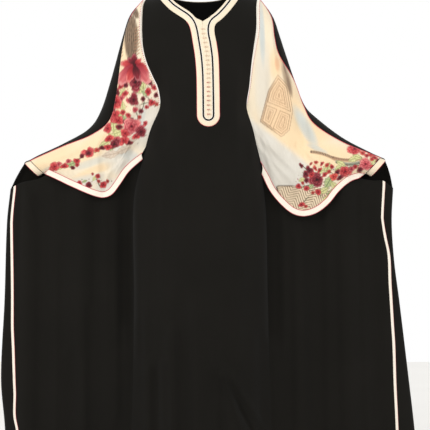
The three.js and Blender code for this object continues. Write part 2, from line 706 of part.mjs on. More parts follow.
// The neck band's outer edge in the front view, down one side, round the end and up the other.
function necklineOutline() {
  const end = NECKLINE[NECKLINE.length - 1];
  const heights = [40, 5, -28, -58, -74, -82, -89, -96, -103, -122, -154, -196, -250, -305, end.z];
  const edge = (sign) =>
    heights.map((z) => ({
      x: smooth(NECKLINE, "z", z, "centre") + sign * smooth(NECKLINE, "z", z, "half"),
      z,
    }));
  const round = [];
  for (let angle = 202.5; angle < 360; angle += 22.5)
    round.push({
      x: end.centre + end.half * Math.cos(angle * RADIANS),
      z: end.z + end.half * Math.sin(angle * RADIANS),
    });
  return [...edge(-1), ...round, ...edge(1).reverse()];
}

// The back neckline's outer edge, from one shoulder under the nape to the other.
function backNeckOutline() {
  const points = [{ x: BACK_NECK.centre - BACK_NECK.half, z: 60 }];
  for (let angle = 180; angle <= 360; angle += 15)
    points.push({
      x: BACK_NECK.centre + BACK_NECK.half * Math.cos(angle * RADIANS),
      z: BACK_NECK.top + BACK_NECK.depth * Math.sin(angle * RADIANS),
    });
  points.push({ x: BACK_NECK.centre + BACK_NECK.half, z: 60 });
  return points;
}

// An outline moved inwards by a distance, each point along its own normal.
function inset(outline, distance) {
  return outline.map((p, i) => {
    const a = outline[Math.max(0, i - 1)];
    const b = outline[Math.min(outline.length - 1, i + 1)];
    const long = Math.hypot(b.x - a.x, b.z - a.z);
    return { x: p.x - ((b.z - a.z) / long) * distance, z: p.z + ((b.x - a.x) / long) * distance };
  });
}

const group = new THREE.Group();

function addPiece(name, geometry, colour, roughness) {
  const material = new THREE.MeshStandardMaterial({ color: COLOURS[colour], roughness, metalness: 0 });
  const mesh = new THREE.Mesh(geometry, material);
  mesh.name = name;
  group.add(mesh);
  return mesh;
}

// A band that lies on the outside of a grid, over the rows and columns between two places.
function layBand(grid, facing, rows, columns, panel) {
  const from = panel / 2 + LAY_GAP;
  return wallGeometry(grid, facing, from, from + TRIM_CLOTH, { rows, columns });
}

// The armhole trim lies on the sleeve along its edge beside the body, as wide as its table says.
function armholeTrim(half, grid, facing) {
  const rows = grid.filter((row) => row[0].z > ARMHOLE_TRIM_END);
  const strip = rows.map((row) => {
    const width = smooth(half.trim, "z", row[0].z, "width");
    return [0, 0.5, 1].map((share) => alongRow(row, TRIM_INSET + width * share));
  });
  const from = PRINT_CLOTH / 2 + LAY_GAP + 0.3;
  return wallGeometry(strip, facing, from, from + TRIM_CLOTH);
}

// The point of a row of points at a distance from its first.
function alongRow(row, distance) {
  let left = distance;
  let i = 0;
  while (left > row[i + 1].distanceTo(row[i])) left -= row[i + 1].distanceTo(row[i++]);
  return row[i].clone().lerp(row[i + 1], left / row[i + 1].distanceTo(row[i]));
}

// The cuff: a ring round the wrist that carries the sleeve on past its end.
function cuffGeometry(half) {
  const wrist = armStations(half).find((station) => station.row === wristRow(half));
  const lean = wrist.lean * RADIANS;
  const fall = WRIST_FALL * RADIANS;
  const outward = new THREE.Vector3(half.sign * Math.cos(fall), 0, -Math.sin(fall));
  const inward = new THREE.Vector3(-half.sign * Math.sin(lean), 0, -Math.cos(lean));
  const ring = { ...wrist, depth: wrist.depth - CUFF_INSET, drop: wrist.drop - CUFF_INSET };
  const loops = [CUFF_GAP, CUFF_GAP + CUFF_WIDTH / 2, CUFF_GAP + CUFF_WIDTH].map((along) =>
    Array.from({ length: CUFF_STEPS }, (_, k) =>
      turnPoint(half, ring, (-360 * k) / CUFF_STEPS)
        .addScaledVector(inward, CUFF_INSET)
        .addScaledVector(outward, along),
    ),
  );
  return wallGeometry(loops, -half.sign, -TRIM_CLOTH / 2, TRIM_CLOTH / 2, {}, true);
}

const front = frontGrid();
const back = backGrid();
const neckOuter = necklineOutline();
const neckCordOuter = inset(neckOuter, NECK_BAND);
const neckCordInner = inset(neckOuter, NECK_BAND + NECK_CORD);
const innerLine = inset(neckOuter, NECK_BAND + NECK_INNER_BAND).filter((p) => p.z > NECK_POINT.z + 8);
const neckOpening = [
  ...innerLine.slice(0, innerLine.length / 2),
  NECK_POINT,
  ...innerLine.slice(innerLine.length / 2),
];
const backNeckOuter = backNeckOutline();
const backOpening = inset(backNeckOuter, NECK_BAND + NECK_INNER_BAND);
const FRONT_REACH = -320;
const BACK_REACH = 320;
const ABOVE_ALL = 60;
const BEYOND_WINGS = 700;

// A band cut from a layer outside a panel, between an outline and the outlines that it leaves open.
function outlinedBand(grid, facing, from, to, outline, holes) {
  const near = facing < 0 ? FRONT_REACH : 0;
  const far = facing < 0 ? 0 : BACK_REACH;
  let solid = solidOf(wallGeometry(grid, facing, from, to)).intersect(prism(outline, near, far));
  for (const hole of holes) solid = solid.subtract(prism(hole, near, far));
  return solid;
}

const skin = BLACK_CLOTH / 2;
const frontPanel = solidOf(wallGeometry(front, -1, -skin, skin)).subtract(
  prism(neckOpening, FRONT_REACH, 0.5),
);
const backPanel = solidOf(wallGeometry(back, 1, -skin, skin)).subtract(
  prism(backOpening, -0.5, BACK_REACH),
);
addPiece("front_panel", geometryOf(frontPanel), "black", 0.7);

// What lies of the back panel between two distances from the middle and two heights.
function backPart(name, [x1, x2], [z1, z2]) {
  const halfGap = BACK_PARTS.gap / 2;
  const outline = [
    { x: x1 + halfGap, z: z1 + halfGap },
    { x: x2 - halfGap, z: z1 + halfGap },
    { x: x2 - halfGap, z: z2 - halfGap },
    { x: x1 + halfGap, z: z2 - halfGap },
  ];
  const solid = backPanel.intersect(prism(outline, FRONT_REACH, BACK_REACH));
  addPiece(name, geometryOf(solid), "black", 0.7);
}

const { side, level } = BACK_PARTS;
const above = [level, ABOVE_ALL];
const below = [-LENGTH - ABOVE_ALL, level];
backPart("back_panel_top", [-side, side], above);
backPart("back_panel_skirt", [-side, side], below);
backPart("back_sleeve_right", [-BEYOND_WINGS, -side], above);
backPart("back_wing_right", [-BEYOND_WINGS, -side], below);
backPart("back_sleeve_left", [side, BEYOND_WINGS], above);
backPart("back_wing_left", [side, BEYOND_WINGS], below);

for (const half of [RIGHT, LEFT]) {
  const sleeve = sleeveGrid(half);
  const facing = -half.sign;
  const last = sleeve.length - 1;
  const ends = [0, sleeve[0].length - 1];
  const wall = wallGeometry(sleeve, facing, -PRINT_CLOTH / 2, PRINT_CLOTH / 2);
  addPiece(`sleeve_front_${half.name}`, wall, "print", 0.6);
  const hemBand = layBand(sleeve, facing, [last - 1, last], ends, PRINT_CLOTH);
  addPiece(`sleeve_hem_band_${half.name}`, hemBand, "ivory", 0.6);
  addPiece(`armhole_trim_${half.name}`, armholeTrim(half, sleeve, facing), "ivory", 0.6);
  addPiece(`cuff_${half.name}`, cuffGeometry(half), "ivory", 0.6);
  const rows = [ARMHOLE_ROWS.length - 1, front.length - 1];
  const wide = front[0].length;
  const columns = half.sign < 0 ? [1, 2] : [wide - 3, wide - 2];
  const braid = layBand(front, -1, rows, columns, BLACK_CLOTH);
  addPiece(`side_braid_${half.name}`, braid, "ivory", 0.6);
}

const layer = skin + LAY_GAP;
const bandTop = layer + TRIM_CLOTH;
const cordEdges = [NECK_BAND + 0.3, NECK_BAND + NECK_CORD - 0.3].map((d) => inset(neckOuter, d));
const neckBand = outlinedBand(front, -1, layer, bandTop, neckOuter, [neckCordOuter]);
const placket = outlinedBand(front, -1, layer, bandTop, neckCordInner, [neckOpening]);
const neckCord = outlinedBand(front, -1, layer, bandTop + 0.8, cordEdges[0], [cordEdges[1]]);
const backBand = outlinedBand(back, 1, layer, bandTop, backNeckOuter, [backOpening]);
addPiece("neck_band_front", geometryOf(neckBand), "ivory", 0.6);
addPiece("neck_cord", geometryOf(neckCord), "cord", 0.6);
addPiece("neck_band_back", geometryOf(backBand), "ivory", 0.6);
const placketMesh = addPiece("placket", geometryOf(placket), "ivory", 0.6);

// The buttons stand in a row on the placket, from just under the neck opening to its round end.
placketMesh.material.side = THREE.DoubleSide;
const ray = new THREE.Raycaster();
for (let i = 0; i < BUTTONS; i++) {
  const z = mix(NECK_POINT.z - 22, NECKLINE[NECKLINE.length - 1].z + 2, i / (BUTTONS - 1));
  const x = smooth(NECKLINE, "z", z, "centre");
  ray.set(new THREE.Vector3(x, FRONT_REACH, z), new THREE.Vector3(0, 1, 0));
  const [hit] = ray.intersectObject(placketMesh);
  const button = new THREE.IcosahedronGeometry(BUTTON_RADIUS, 0);
  button.translate(x, hit.point.y - BUTTON_RADIUS - 0.3, z);
  addPiece(`button_${i + 1}`, button, "knot", 0.5);
}

export default group;
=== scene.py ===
"""Looks of a black butterfly abaya with printed sleeve fronts, as it hangs when it is worn.

The cloths repeat the part's own tables of sizes, in millimetres, at a finer step and with finer creases.
Each is a thin shell in the room of its solid, and its mesh is made in metres.
"""

import logging
import math
from dataclasses import dataclass
from enum import Enum

import bmesh
import bpy
import numpy as np
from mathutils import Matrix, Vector


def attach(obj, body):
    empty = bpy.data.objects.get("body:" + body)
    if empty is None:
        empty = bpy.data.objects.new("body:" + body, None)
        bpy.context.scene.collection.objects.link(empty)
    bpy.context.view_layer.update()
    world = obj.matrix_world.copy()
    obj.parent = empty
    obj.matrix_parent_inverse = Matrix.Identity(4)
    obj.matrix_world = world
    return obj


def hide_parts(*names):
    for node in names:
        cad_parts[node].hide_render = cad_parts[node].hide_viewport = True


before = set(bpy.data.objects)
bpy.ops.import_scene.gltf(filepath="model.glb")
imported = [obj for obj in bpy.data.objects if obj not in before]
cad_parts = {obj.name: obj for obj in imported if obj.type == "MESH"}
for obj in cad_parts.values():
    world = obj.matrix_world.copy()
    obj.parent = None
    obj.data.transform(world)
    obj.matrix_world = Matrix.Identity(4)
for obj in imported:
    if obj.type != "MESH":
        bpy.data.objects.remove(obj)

LOG = logging.getLogger("abaya")

LENGTH = 1450.0  # side of the neck to the hem
CREPE = 0.9  # thickness of the black crepe
CHIFFON = 0.6  # thickness of the printed chiffon
SATIN = 1.0  # thickness of the ivory bands
SEAM = 0.55  # half of what lies between two panels at their seam
NECK_BAND = 15.0  # ivory band from its outer edge to the black cord
NECK_CORD = 3.2  # width of the black cord
RED_NECK_TOPS = -95.0, -150.0  # heights on the right and left at which the red neck edge begins
CORD_SHADOW_SPREAD = 0.4  # painted shadow: the black cord is drawn this much wider on each side, over the edges of the bands beside it, where its shadow falls
NECK_INNER_BAND = 10.0  # ivory band from the cord to the neck opening
NECK_CUT = NECK_BAND + NECK_INNER_BAND - 1.5  # inset of the panels' own edge, under the bands
NECK_POINT = -95.0  # lowest point of the neck opening
NECK_CORNER = -103.0  # height at which the neck bands turn down beside the placket
PLACKET_END = 356.0  # depth at which the placket begins to round off
HEM_BAND = 16.0  # ivory band along a sleeve's lower edge
WRIST_FALL = 28.0  # degrees by which the arm points down at the wrist
SIDE_BRAID = 7.0  # ivory braid down each side
SHOULDER_TURN = 110.0  # drop over which the front turns from level to upright
SHOULDER_FADE = 240.0  # drop over which the slope of the shoulders fades out of the front's rows
SLEEVE_GAP = 0.9  # between a sleeve front and the back panel, along their seam
WRIST_RADIUS = 28.0  # of the cloth's turn at the wrist, about
CUFF_SEAM, CUFF_CORNER = -158.0, -176.0  # where the hem band's two edges reach the cuff, on its turn
HEM_WALL, CUFF_WALL = 2.2, 1.6  # thickness of the ivory hem bands and cuffs
TRIM_END = -322.0  # the ivory armhole trim stops at this height
BUTTONS = 20
PALE_BUTTONS = 12  # of them, from the top, the pale ones
WING_TOP = 440.0  # depth at which the wings begin beside the body
BACK_HALF = 245.0  # half width of the back's bell over the body
FRONT_SETTLE, BACK_SETTLE = 300.0, 330.0  # drops below the shoulder by which each panel hangs freely
SEAM_CLOSE = 9  # power that brings the front and the back together only close to the side seam
SEAM_CALM = 0.12  # share of the width beside the side seam in which the folds die out
SLOPE_START, SLOPE_REACH = 0.5, 0.62  # shares of the half width where, and over which, a shoulder falls
BACK_SOLIDS = ("back_panel_top", "back_panel_skirt") + tuple(
    f"back_{part}_{side}" for part in ("sleeve", "wing") for side in ("right", "left")
)
RADIANS = math.pi / 180


class Table:
    """A short table of sizes with named columns, read on a smooth curve through its rows."""

    def __init__(self, columns: str, *rows: tuple[float, ...]) -> None:
        """Keeps the rows.

        Args:
            columns: the columns' names, parted by spaces.
            rows: one tuple of sizes for each row.
        """
        self.names = columns.split()
        self.rows = np.array(rows, dtype=float)

    def column(self, name: str) -> np.ndarray:
        """One column as it stands; the name row gives the rows' own numbers."""
        if name == "row":
            return np.arange(len(self.rows), dtype=float)
        return self.rows[:, self.names.index(name)]

    def at(self, places: np.ndarray, name: str, key: str = "") -> np.ndarray:
        """Reads a column anywhere along the key column.

        Args:
            places: where to read, as values of the key column.
            name: the column to read.
            key: the column that rises or falls steadily; the first one if left out.

        Returns:
            The values, with the ends held beyond the table.
        """
        keys, values = self.column(key or self.names[0]), self.column(name)
        rising = 1.0 if keys[-1] > keys[0] else -1.0
        low = np.maximum(np.arange(len(keys)) - 1, 0)
        high = np.minimum(np.arange(len(keys)) + 1, len(keys) - 1)
        slopes = (values[high] - values[low]) / (keys[high] - keys[low])
        place = np.clip(np.asarray(places, float) * rising, keys[0] * rising, keys[-1] * rising)
        i = np.clip(np.searchsorted(keys * rising, place, side="right") - 1, 0, len(keys) - 2)
        span = keys[i + 1] - keys[i]
        t = (place * rising - keys[i]) / span
        bend = t * t * (3 - 2 * t)
        tilt = span * t * (1 - t) * ((1 - t) * slopes[i] - t * slopes[i + 1])
        return values[i] + (values[i + 1] - values[i]) * bend + tilt


FRONT_BODY = Table(
    "z depth edge round",
    (0, 92, 54, 50),
    (-110, 97, 60, 52),
    (-200, 113, 67, 55),
    (-290, 131, 74, 58),
    (-340, 133, 72, 62),
    (-440, 126, 54, 76),
    (-520, 122, 38, 84),
    (-600, 122, 30, 86),
    (-760, 126, 28, 86),
    (-900, 126, 28, 82),
    (-1050, 124, 32, 72),
    (-1250, 130, 38, 62),
    (-1450, 144, 46, 56),
)
BACK_BODY = Table(
    "z depth wing",
    (0, 92, 46),
    (-200, 97, 44),
    (-430, 88, 34),
    (-560, 100, 27),
    (-660, 112, 25),
    (-850, 116, 25),
    (-1150, 124, 28),
    (-1450, 140, 34),
)
NECKLINE = Table(
    "z centre half",
    (40, -10, 128),
    (5, -10, 126),
    (-28, -10, 109),
    (-58, -7.5, 86),
    (-74, -3.5, 69),
    (-89, 0, 51),
    (-103, -2, 37),
    (-122, -0.5, 32),
    (-154, 5, 32),
    (-196, 11, 31.5),
    (-250, 14, 30.5),
    (-356, 15.5, 30.5),
)
BACK_NECK_CENTRE, BACK_NECK_HALF, BACK_NECK_DEPTH, BACK_NECK_TOP = -10.0, 126.0, 52.0, 5.0


@dataclass(frozen=True)
class HeldSide:
    """One side of the garment as it is held, with distances from the middle positive.

    side is the armhole edge and, below it, the upright fold beside the body; outer the wing's side seam;
    braid the braid's inset; top the line of the shoulder and arm with the turn of the cloth over it; trim
    the width of the armhole trim; hem the sleeve's lower edge; wing the upper edge of the black wing.
    """

    name: str
    sign: float
    side: Table
    outer: Table
    braid: Table
    top: Table
    trim: Table
    hem: Table
    wing: Table
    corner: tuple[float, float, float]

    @property
    def wrist_row(self) -> int:
        """The row of the arm's line at which the sleeve ends and the cuff begins."""
        return len(self.top.rows) - 4


RIGHT = HeldSide(
    "right",
    -1.0,
    Table(
        "z x",
        (-22, 160),
        (-45, 167),
        (-110, 169),
        (-162, 166),
        (-204, 156),
        (-244, 139),
        (-274, 125),
        (-311, 118),
        (-336, 121),
        (-392, 145),
        (-440, 159),
        (-480, 170),
        (-560, 190),
        (-640, 196),
        (-870, 193),
        (-1450, 208),
    ),
    Table("z x", (-557, 543), (-650, 553), (-868, 560), (-1092, 570), (-1230, 559), (-1450, 550)),
    Table(
        "z x",
        (-557, 14),
        (-640, 18),
        (-868, 27),
        (-977, 36),
        (-1086, 40),
        (-1165, 33),
        (-1215, 38),
        (-1450, 44),
    ),
    Table(
        "x z y lean drop depth seam hem",
        (161.5, -22, 0, 8, 82, 68, 0, 0.27),
        (173, -29, 0, 18, 74, 64, 2, 0.3),
        (205, -66, 0, 50, 60, 57, 6, 0.38),
        (224, -120, -1, 66, 55, 55, 10, 0.44),
        (260, -252, -4, 68, 52, 53, 31, 0.57),
        (288, -338, -6, 58, 50, 51, 38, 0.67),
        (322, -388, -8, 42, 46, 49, 22, 0.75),
        (390, -428, -11, 34, 38, 43, 9, 0.84),
        (462, -462, -13, 40, 30, 34, 6, 0.91),
        (486, -475, -14, 46, 27, 29, 4, 0.935),
        (503, -484.5, -14, 50, 27, 29, 0, 0.955),
        (525, -520, -8, 34, 22, 21, 0, 0.98),
        (543, -557, 1.3, 0, 14, 0, 0, 1),
    ),
    Table("z width", (-22, 14), (-120, 13), (-170, 8), (-230, 6), (-320, 5)),
    Table(
        "x z y",
        (168, -474, -57),
        (206, -508, -54),
        (232, -545, -52),
        (254, -572, -48),
        (278, -581, -48),
        (304, -576, -48),
        (338, -563, -48),
        (376, -546, -47),
        (415, -527, -42),
        (450, -512, -31),
    ),
    Table(
        "x z",
        (159, -440),
        (250, -462),
        (350, -488),
        (425, -512),
        (450, -526),
        (474, -532),
        (512, -540),
        (543, -557),
    ),
    (168.0, -59.0, -456.0),
)
LEFT = HeldSide(
    "left",
    1.0,
    Table(
        "z x",
        (-22, 152),
        (-45, 149),
        (-110, 148),
        (-162, 141),
        (-204, 135),
        (-244, 131),
        (-274, 128),
        (-311, 122),
        (-336, 122),
        (-392, 139),
        (-440, 150),
        (-480, 160),
        (-560, 170),
        (-640, 177),
        (-870, 182),
        (-1450, 200),
    ),
    Table(
        "z x",
        (-554, 536),
        (-650, 532),
        (-760, 539),
        (-868, 553),
        (-1092, 580),
        (-1230, 596),
        (-1450, 617),
    ),
    Table(
        "z x",
        (-554, 29),
        (-613, 21),
        (-655, 15),
        (-690, 15),
        (-760, 21),
        (-868, 28),
        (-941, 32),
        (-1050, 41),
        (-1123, 46),
        (-1226, 52),
        (-1450, 58),
    ),
    Table(
        "x z y lean drop depth seam hem",
        (153.5, -22, 0, 8, 82, 68, 0, 0.26),
        (166, -29, 0, 18, 74, 64, 2, 0.29),
        (197, -72, 0, 52, 60, 57, 7, 0.37),
        (216, -126, -1, 64, 55, 55, 18, 0.43),
        (232, -175, -2, 66, 54, 54, 21, 0.48),
        (258, -252, -4, 68, 52, 53, 3, 0.56),
        (286, -322, -6, 58, 50, 51, 5, 0.66),
        (324, -361, -8, 42, 46, 49, 20, 0.74),
        (394, -414, -11, 34, 40, 43, 13, 0.84),
        (472, -455, -13, 37, 33, 36, 5, 0.92),
        (498, -467, -14, 42, 31, 32, 3, 0.945),
        (513, -476.5, -14, 45, 31, 32, 0, 0.96),
        (527, -514, -8, 32, 24, 22, 0, 0.98),
        (535, -554, 1.3, 0, 14, 0, 0, 1),
    ),
    Table("z width", (-22, 15), (-110, 14), (-180, 10), (-260, 6), (-320, 4)),
    Table(
        "x z y",
        (164, -515, -52),
        (187, -562, -51),
        (218, -600, -50),
        (249, -625, -49),
        (282, -633, -49),
        (318, -623, -48),
        (352, -597, -47),
        (380, -563, -45),
        (412, -536, -40),
        (448, -524, -31),
    ),
    Table(
        "x z",
        (150, -440),
        (250, -468),
        (350, -498),
        (425, -524),
        (474, -533),
        (505, -534),
        (535, -554),
    ),
    (161.0, -56.0, -480.0),
)

FOLD = "x1 z1 x2 z2 width depth"
FRONT_FOLDS = Table(
    FOLD,
    (-214, -560, -212, -900, 34, -11),
    (198, -600, 202, -950, 34, -11),
    (-345, -560, -338, -1450, 42, 11),
    (-272, -600, -258, -1200, 36, 8),
    (-365, -1060, -372, -1450, 34, -9),
    (-448, -620, -455, -1450, 44, -8),
    (-492, -590, -500, -1450, 30, 7),
    (322, -640, 330, -1300, 38, -9),
    (398, -560, 416, -1450, 40, 11),
    (262, -700, 275, -1450, 38, 10),
    (470, -640, 505, -1450, 32, -8),
    (-122, -1080, -118, -1450, 32, -14),
    (-58, -880, -50, -1450, 36, -10),
    (-86, -980, -84, -1450, 30, 12),
    (36, -1090, 44, -1450, 30, -12),
    (62, -1090, 122, -1450, 30, 12),
    (92, -420, 78, -980, 46, 6),
    (118, -190, 112, -470, 26, -5),
    (-118, -230, -104, -400, 24, -5),
    (158, -1000, 172, -1450, 34, -11),
)
BACK_FOLDS = Table(
    FOLD,
    (0, -240, -6, -1450, 58, -12),
    (-112, -300, -130, -1450, 54, 12),
    (118, -330, 128, -1450, 54, 12),
    (-200, -240, -214, -1450, 44, -12),
    (196, -240, 216, -1450, 44, -12),
    (-290, -520, -300, -1450, 48, 10),
    (292, -500, 310, -1450, 48, 10),
    (-372, -560, -386, -1450, 42, -8),
    (378, -540, 402, -1450, 42, -8),
    (-452, -600, -464, -1450, 40, 8),
    (458, -620, 492, -1450, 40, 8),
)
SLEEVE_FOLDS = {
    "right": Table(
        FOLD,
        (-196, -250, -214, -420, 30, 7),
        (-262, -400, -250, -520, 30, -7),
        (-300, -428, -300, -540, 30, 8),
        (-352, -450, -352, -520, 26, -5),
        (-398, -462, -404, -510, 22, 4),
    ),
    "left": Table(
        FOLD,
        (176, -80, 164, -260, 22, -6),
        (150, -400, 262, -520, 30, 8),
        (244, -300, 306, -470, 30, -7),
        (306, -470, 400, -500, 26, 7),
        (216, -500, 250, -590, 32, -6),
        (330, -520, 316, -600, 30, 6),
    ),
}
# Creases too fine for the solids, each placed one by one: uneven in length, width, depth and spacing.
FRONT_CREASES = Table(
    FOLD,
    (-224, -520, -226, -980, 12, -3.5),
    (-246, -640, -240, -1180, 15, 3.0),
    (-296, -570, -306, -880, 14, -3.0),
    (-318, -900, -314, -1450, 17, -3.5),
    (-372, -590, -380, -1010, 13, 2.6),
    (-396, -740, -398, -1450, 18, -3.2),
    (-420, -560, -428, -820, 12, 2.4),
    (-470, -700, -478, -1300, 14, 3.0),
    (-512, -575, -522, -760, 9, -2.4),
    (-498, -565, -470, -660, 8, 2.2),
    (-530, -580, -528, -700, 7, 2.2),
    (-484, -560, -430, -640, 9, -2.0),
    (-186, -640, -184, -1010, 15, 3.4),
    (-158, -900, -150, -1450, 17, 4.0),
    (-98, -620, -92, -900, 20, -2.4),
    (-20, -900, -12, -1450, 17, 4.2),
    (8, -1010, 14, -1450, 13, -3.4),
    (70, -900, 60, -1240, 15, -3.0),
    (104, -720, 96, -1120, 19, 2.8),
    (142, -980, 150, -1450, 16, 4.0),
    (178, -600, 184, -960, 13, -3.2),
    (224, -560, 228, -1020, 14, 3.0),
    (246, -700, 250, -1280, 13, -3.2),
    (292, -640, 300, -1120, 16, -3.0),
    (346, -620, 352, -1450, 15, 3.0),
    (372, -700, 384, -1200, 13, -2.8),
    (432, -590, 452, -1080, 15, -3.0),
    (448, -900, 474, -1450, 14, 2.8),
    (494, -575, 470, -700, 9, 2.6),
    (508, -570, 506, -700, 8, -2.4),
    (516, -566, 524, -660, 7, 2.0),
    (482, -566, 430, -630, 9, -2.2),
    (462, -556, 392, -590, 10, 1.8),
    (-132, -120, -96, -210, 20, -2.2),
    (128, -110, 96, -200, 20, -2.2),
    (-112, -290, -60, -330, 16, 1.8),
    (112, -300, 58, -336, 16, 1.8),
    (-118, -352, -66, -376, 15, -1.8),
    (118, -360, 60, -392, 15, -2.0),
    (-140, -420, -96, -540, 18, 2.4),
    (142, -430, 104, -560, 18, 2.4),
    (-66, -400, -40, -620, 24, 2.4),
    (30, -420, 22, -700, 22, -2.0),
    (-128, -560, -132, -860, 18, -2.8),
    (136, -580, 134, -880, 18, -2.6),
    (-206, -560, -206, -980, 16, -5.0),
    (-112, -1050, -110, -1450, 16, 8.5),
    (-95, -1060, -92, -1450, 13, -5.0),
    (118, -430, 112, -980, 70, 5.0),
    (36, -1050, 40, -1450, 12, 7.0),
    (52, -1070, 142, -1300, 11, 9.0),
    (86, -1080, 212, -1300, 11, 7.0),
    (66, -1090, 172, -1300, 9, -8.0),
)
BACK_CREASES = Table(
    FOLD,
    (-40, -200, -52, -900, 22, 3.2),
    (44, -220, 50, -840, 20, 3.0),
    (-78, -420, -86, -1450, 18, -3.6),
    (80, -500, 86, -1450, 18, -3.4),
    (-20, -760, -26, -1450, 16, 3.0),
    (24, -820, 30, -1450, 17, 3.2),
    (-150, -200, -166, -760, 20, -3.0),
    (152, -220, 164, -800, 20, -3.0),
    (-172, -640, -178, -1450, 16, 3.4),
    (176, -700, 184, -1450, 16, 3.4),
    (-236, -300, -252, -1100, 19, 3.2),
    (238, -320, 256, -1150, 19, 3.2),
    (-262, -760, -268, -1450, 15, -3.2),
    (268, -800, 276, -1450, 15, -3.2),
    (-330, -480, -340, -1250, 17, -3.0),
    (334, -470, 350, -1280, 17, -3.0),
    (-356, -900, -362, -1450, 14, 2.8),
    (362, -860, 374, -1450, 14, 2.8),
    (-414, -560, -424, -1300, 16, -3.0),
    (420, -560, 440, -1300, 16, -3.0),
    (-488, -580, -498, -1000, 13, -2.6),
    (492, -590, 516, -1040, 13, -2.6),
    (-510, -570, -480, -700, 9, 2.4),
    (504, -566, 472, -690, 9, 2.4),
    (-140, -60, -170, -260, 22, 3.6),
    (138, -60, 166, -250, 22, 3.6),
    (-60, -70, -96, -220, 22, -2.2),
    (60, -70, 94, -210, 22, -2.2),
    (-210, -130, -232, -420, 15, 2.8),
    (206, -140, 230, -430, 15, 2.8),
)
SLEEVE_CREASES = {
    "right": Table(
        FOLD,
        (-176, -60, -182, -220, 9, -1.8),
        (-206, -90, -200, -230, 9, 1.6),
        (-150, -290, -206, -360, 13, 2.6),
        (-134, -330, -200, -404, 12, -2.6),
        (-160, -400, -240, -448, 13, 3.4),
        (-176, -440, -236, -478, 10, -3.0),
        (-214, -470, -262, -520, 12, 2.6),
        (-246, -500, -270, -556, 10, -2.4),
        (-284, -440, -276, -560, 12, -3.0),
        (-318, -470, -312, -560, 11, -2.2),
        (-336, -440, -420, -474, 9, 2.2),
        (-366, -470, -444, -490, 8, -2.0),
        (-270, -360, -250, -420, 13, 2.2),
        (-236, -240, -226, -350, 12, -2.2),
        (-408, -446, -470, -478, 8, 1.4),
        (-420, -500, -386, -524, 9, 1.8),
        (-222, -380, -196, -452, 10, -2.2),
    ),
    "left": Table(
        FOLD,
        (158, -60, 148, -320, 8, 2.0),
        (190, -80, 182, -300, 11, 2.2),
        (206, -150, 214, -320, 12, -2.0),
        (150, -372, 236, -452, 12, -3.0),
        (156, -430, 250, -520, 11, -3.6),
        (236, -452, 282, -520, 12, 3.2),
        (170, -470, 222, -560, 13, 2.6),
        (196, -540, 252, -610, 11, 2.4),
        (230, -330, 270, -420, 13, 2.4),
        (276, -330, 330, -420, 12, -2.4),
        (262, -440, 322, -508, 10, -3.0),
        (300, -452, 372, -484, 9, -3.4),
        (330, -470, 430, -486, 8, 2.6),
        (352, -440, 440, -468, 9, 1.8),
        (340, -510, 428, -520, 8, -2.2),
        (300, -540, 290, -616, 12, -2.4),
        (352, -530, 340, -590, 9, 2.0),
        (388, -500, 404, -532, 8, 2.4),
        (426, -470, 480, -490, 7, -1.6),
        (262, -560, 262, -620, 11, 2.0),
    ),
}


def mix(a: np.ndarray, b: np.ndarray, t: np.ndarray) -> np.ndarray:
    """A value between two others."""
    return a + (b - a) * t


def ease(t: np.ndarray) -> np.ndarray:
    """A smooth step from 0 to 1."""
    t = np.clip(t, 0.0, 1.0)
    return t * t * (3 - 2 * t)


def fold_depth(x: np.ndarray, z: np.ndarray, *tables: Table) -> np.ndarray:
    """How far soft folds bring the cloth forward.

    Args:
        x: places across in the front view.
        z: heights of the same places.
        tables: strokes from one end to the other, each with a half width and a depth.

    Returns:
        The sum of the folds at each place.
    """
    total = np.zeros(np.broadcast(x, z).shape)
    for x1, z1, x2, z2, width, depth in np.concatenate([table.rows for table in tables]):
        dx, dz = x2 - x1, z2 - z1
        t = np.clip(((x - x1) * dx + (z - z1) * dz) / (dx * dx + dz * dz), 0, 1)
        away = np.hypot(x - x1 - t * dx, (z - z1 - t * dz) * 0.5) / width
        total += depth * np.where(away < 1, (1 - np.minimum(away, 1) ** 2) ** 2, 0.0)
    return total


def points(x: np.ndarray, y: np.ndarray, z: np.ndarray) -> np.ndarray:
    """Joins three coordinates into points."""
    return np.stack(np.broadcast_arrays(x, y, z), axis=-1).astype(float)


def shoulder(half: HeldSide, u: np.ndarray) -> np.ndarray:
    """Height of the shoulder line over a share of the way from the middle to the armhole."""
    full = float(ease((1 - SLOPE_START) / SLOPE_REACH))
    return half.top.rows[0][1] * ease((u - SLOPE_START) / SLOPE_REACH) / full


def front_body(half: HeldSide, u: np.ndarray, h: np.ndarray) -> np.ndarray:
    """Points of the front panel's body.

    Args:
        half: the side of the garment.
        u: share of the half width.
        h: depth below the shoulder.

    Returns:
        The points, in millimetres.
    """
    u, h = np.broadcast_arrays(np.asarray(u, float), np.asarray(h, float))
    line = shoulder(half, u)
    z = -h + line * (1 - ease(h / SHOULDER_FADE))
    widest = FRONT_BODY.at(z, "round") * RADIANS
    x = half.side.at(z, "x") * np.sin(u * widest) / np.sin(widest)
    return points(half.sign * x, front_body_y(half, x, z), z)


def body_turn(half: HeldSide, x: np.ndarray, z: np.ndarray) -> tuple[np.ndarray, np.ndarray]:
    """How far the body's round has turned at a place of the front view, and how far it does at its edge."""
    widest = FRONT_BODY.at(z, "round") * RADIANS
    return np.arcsin(np.clip(x * np.sin(widest) / half.side.at(z, "x"), -1, 1)), widest


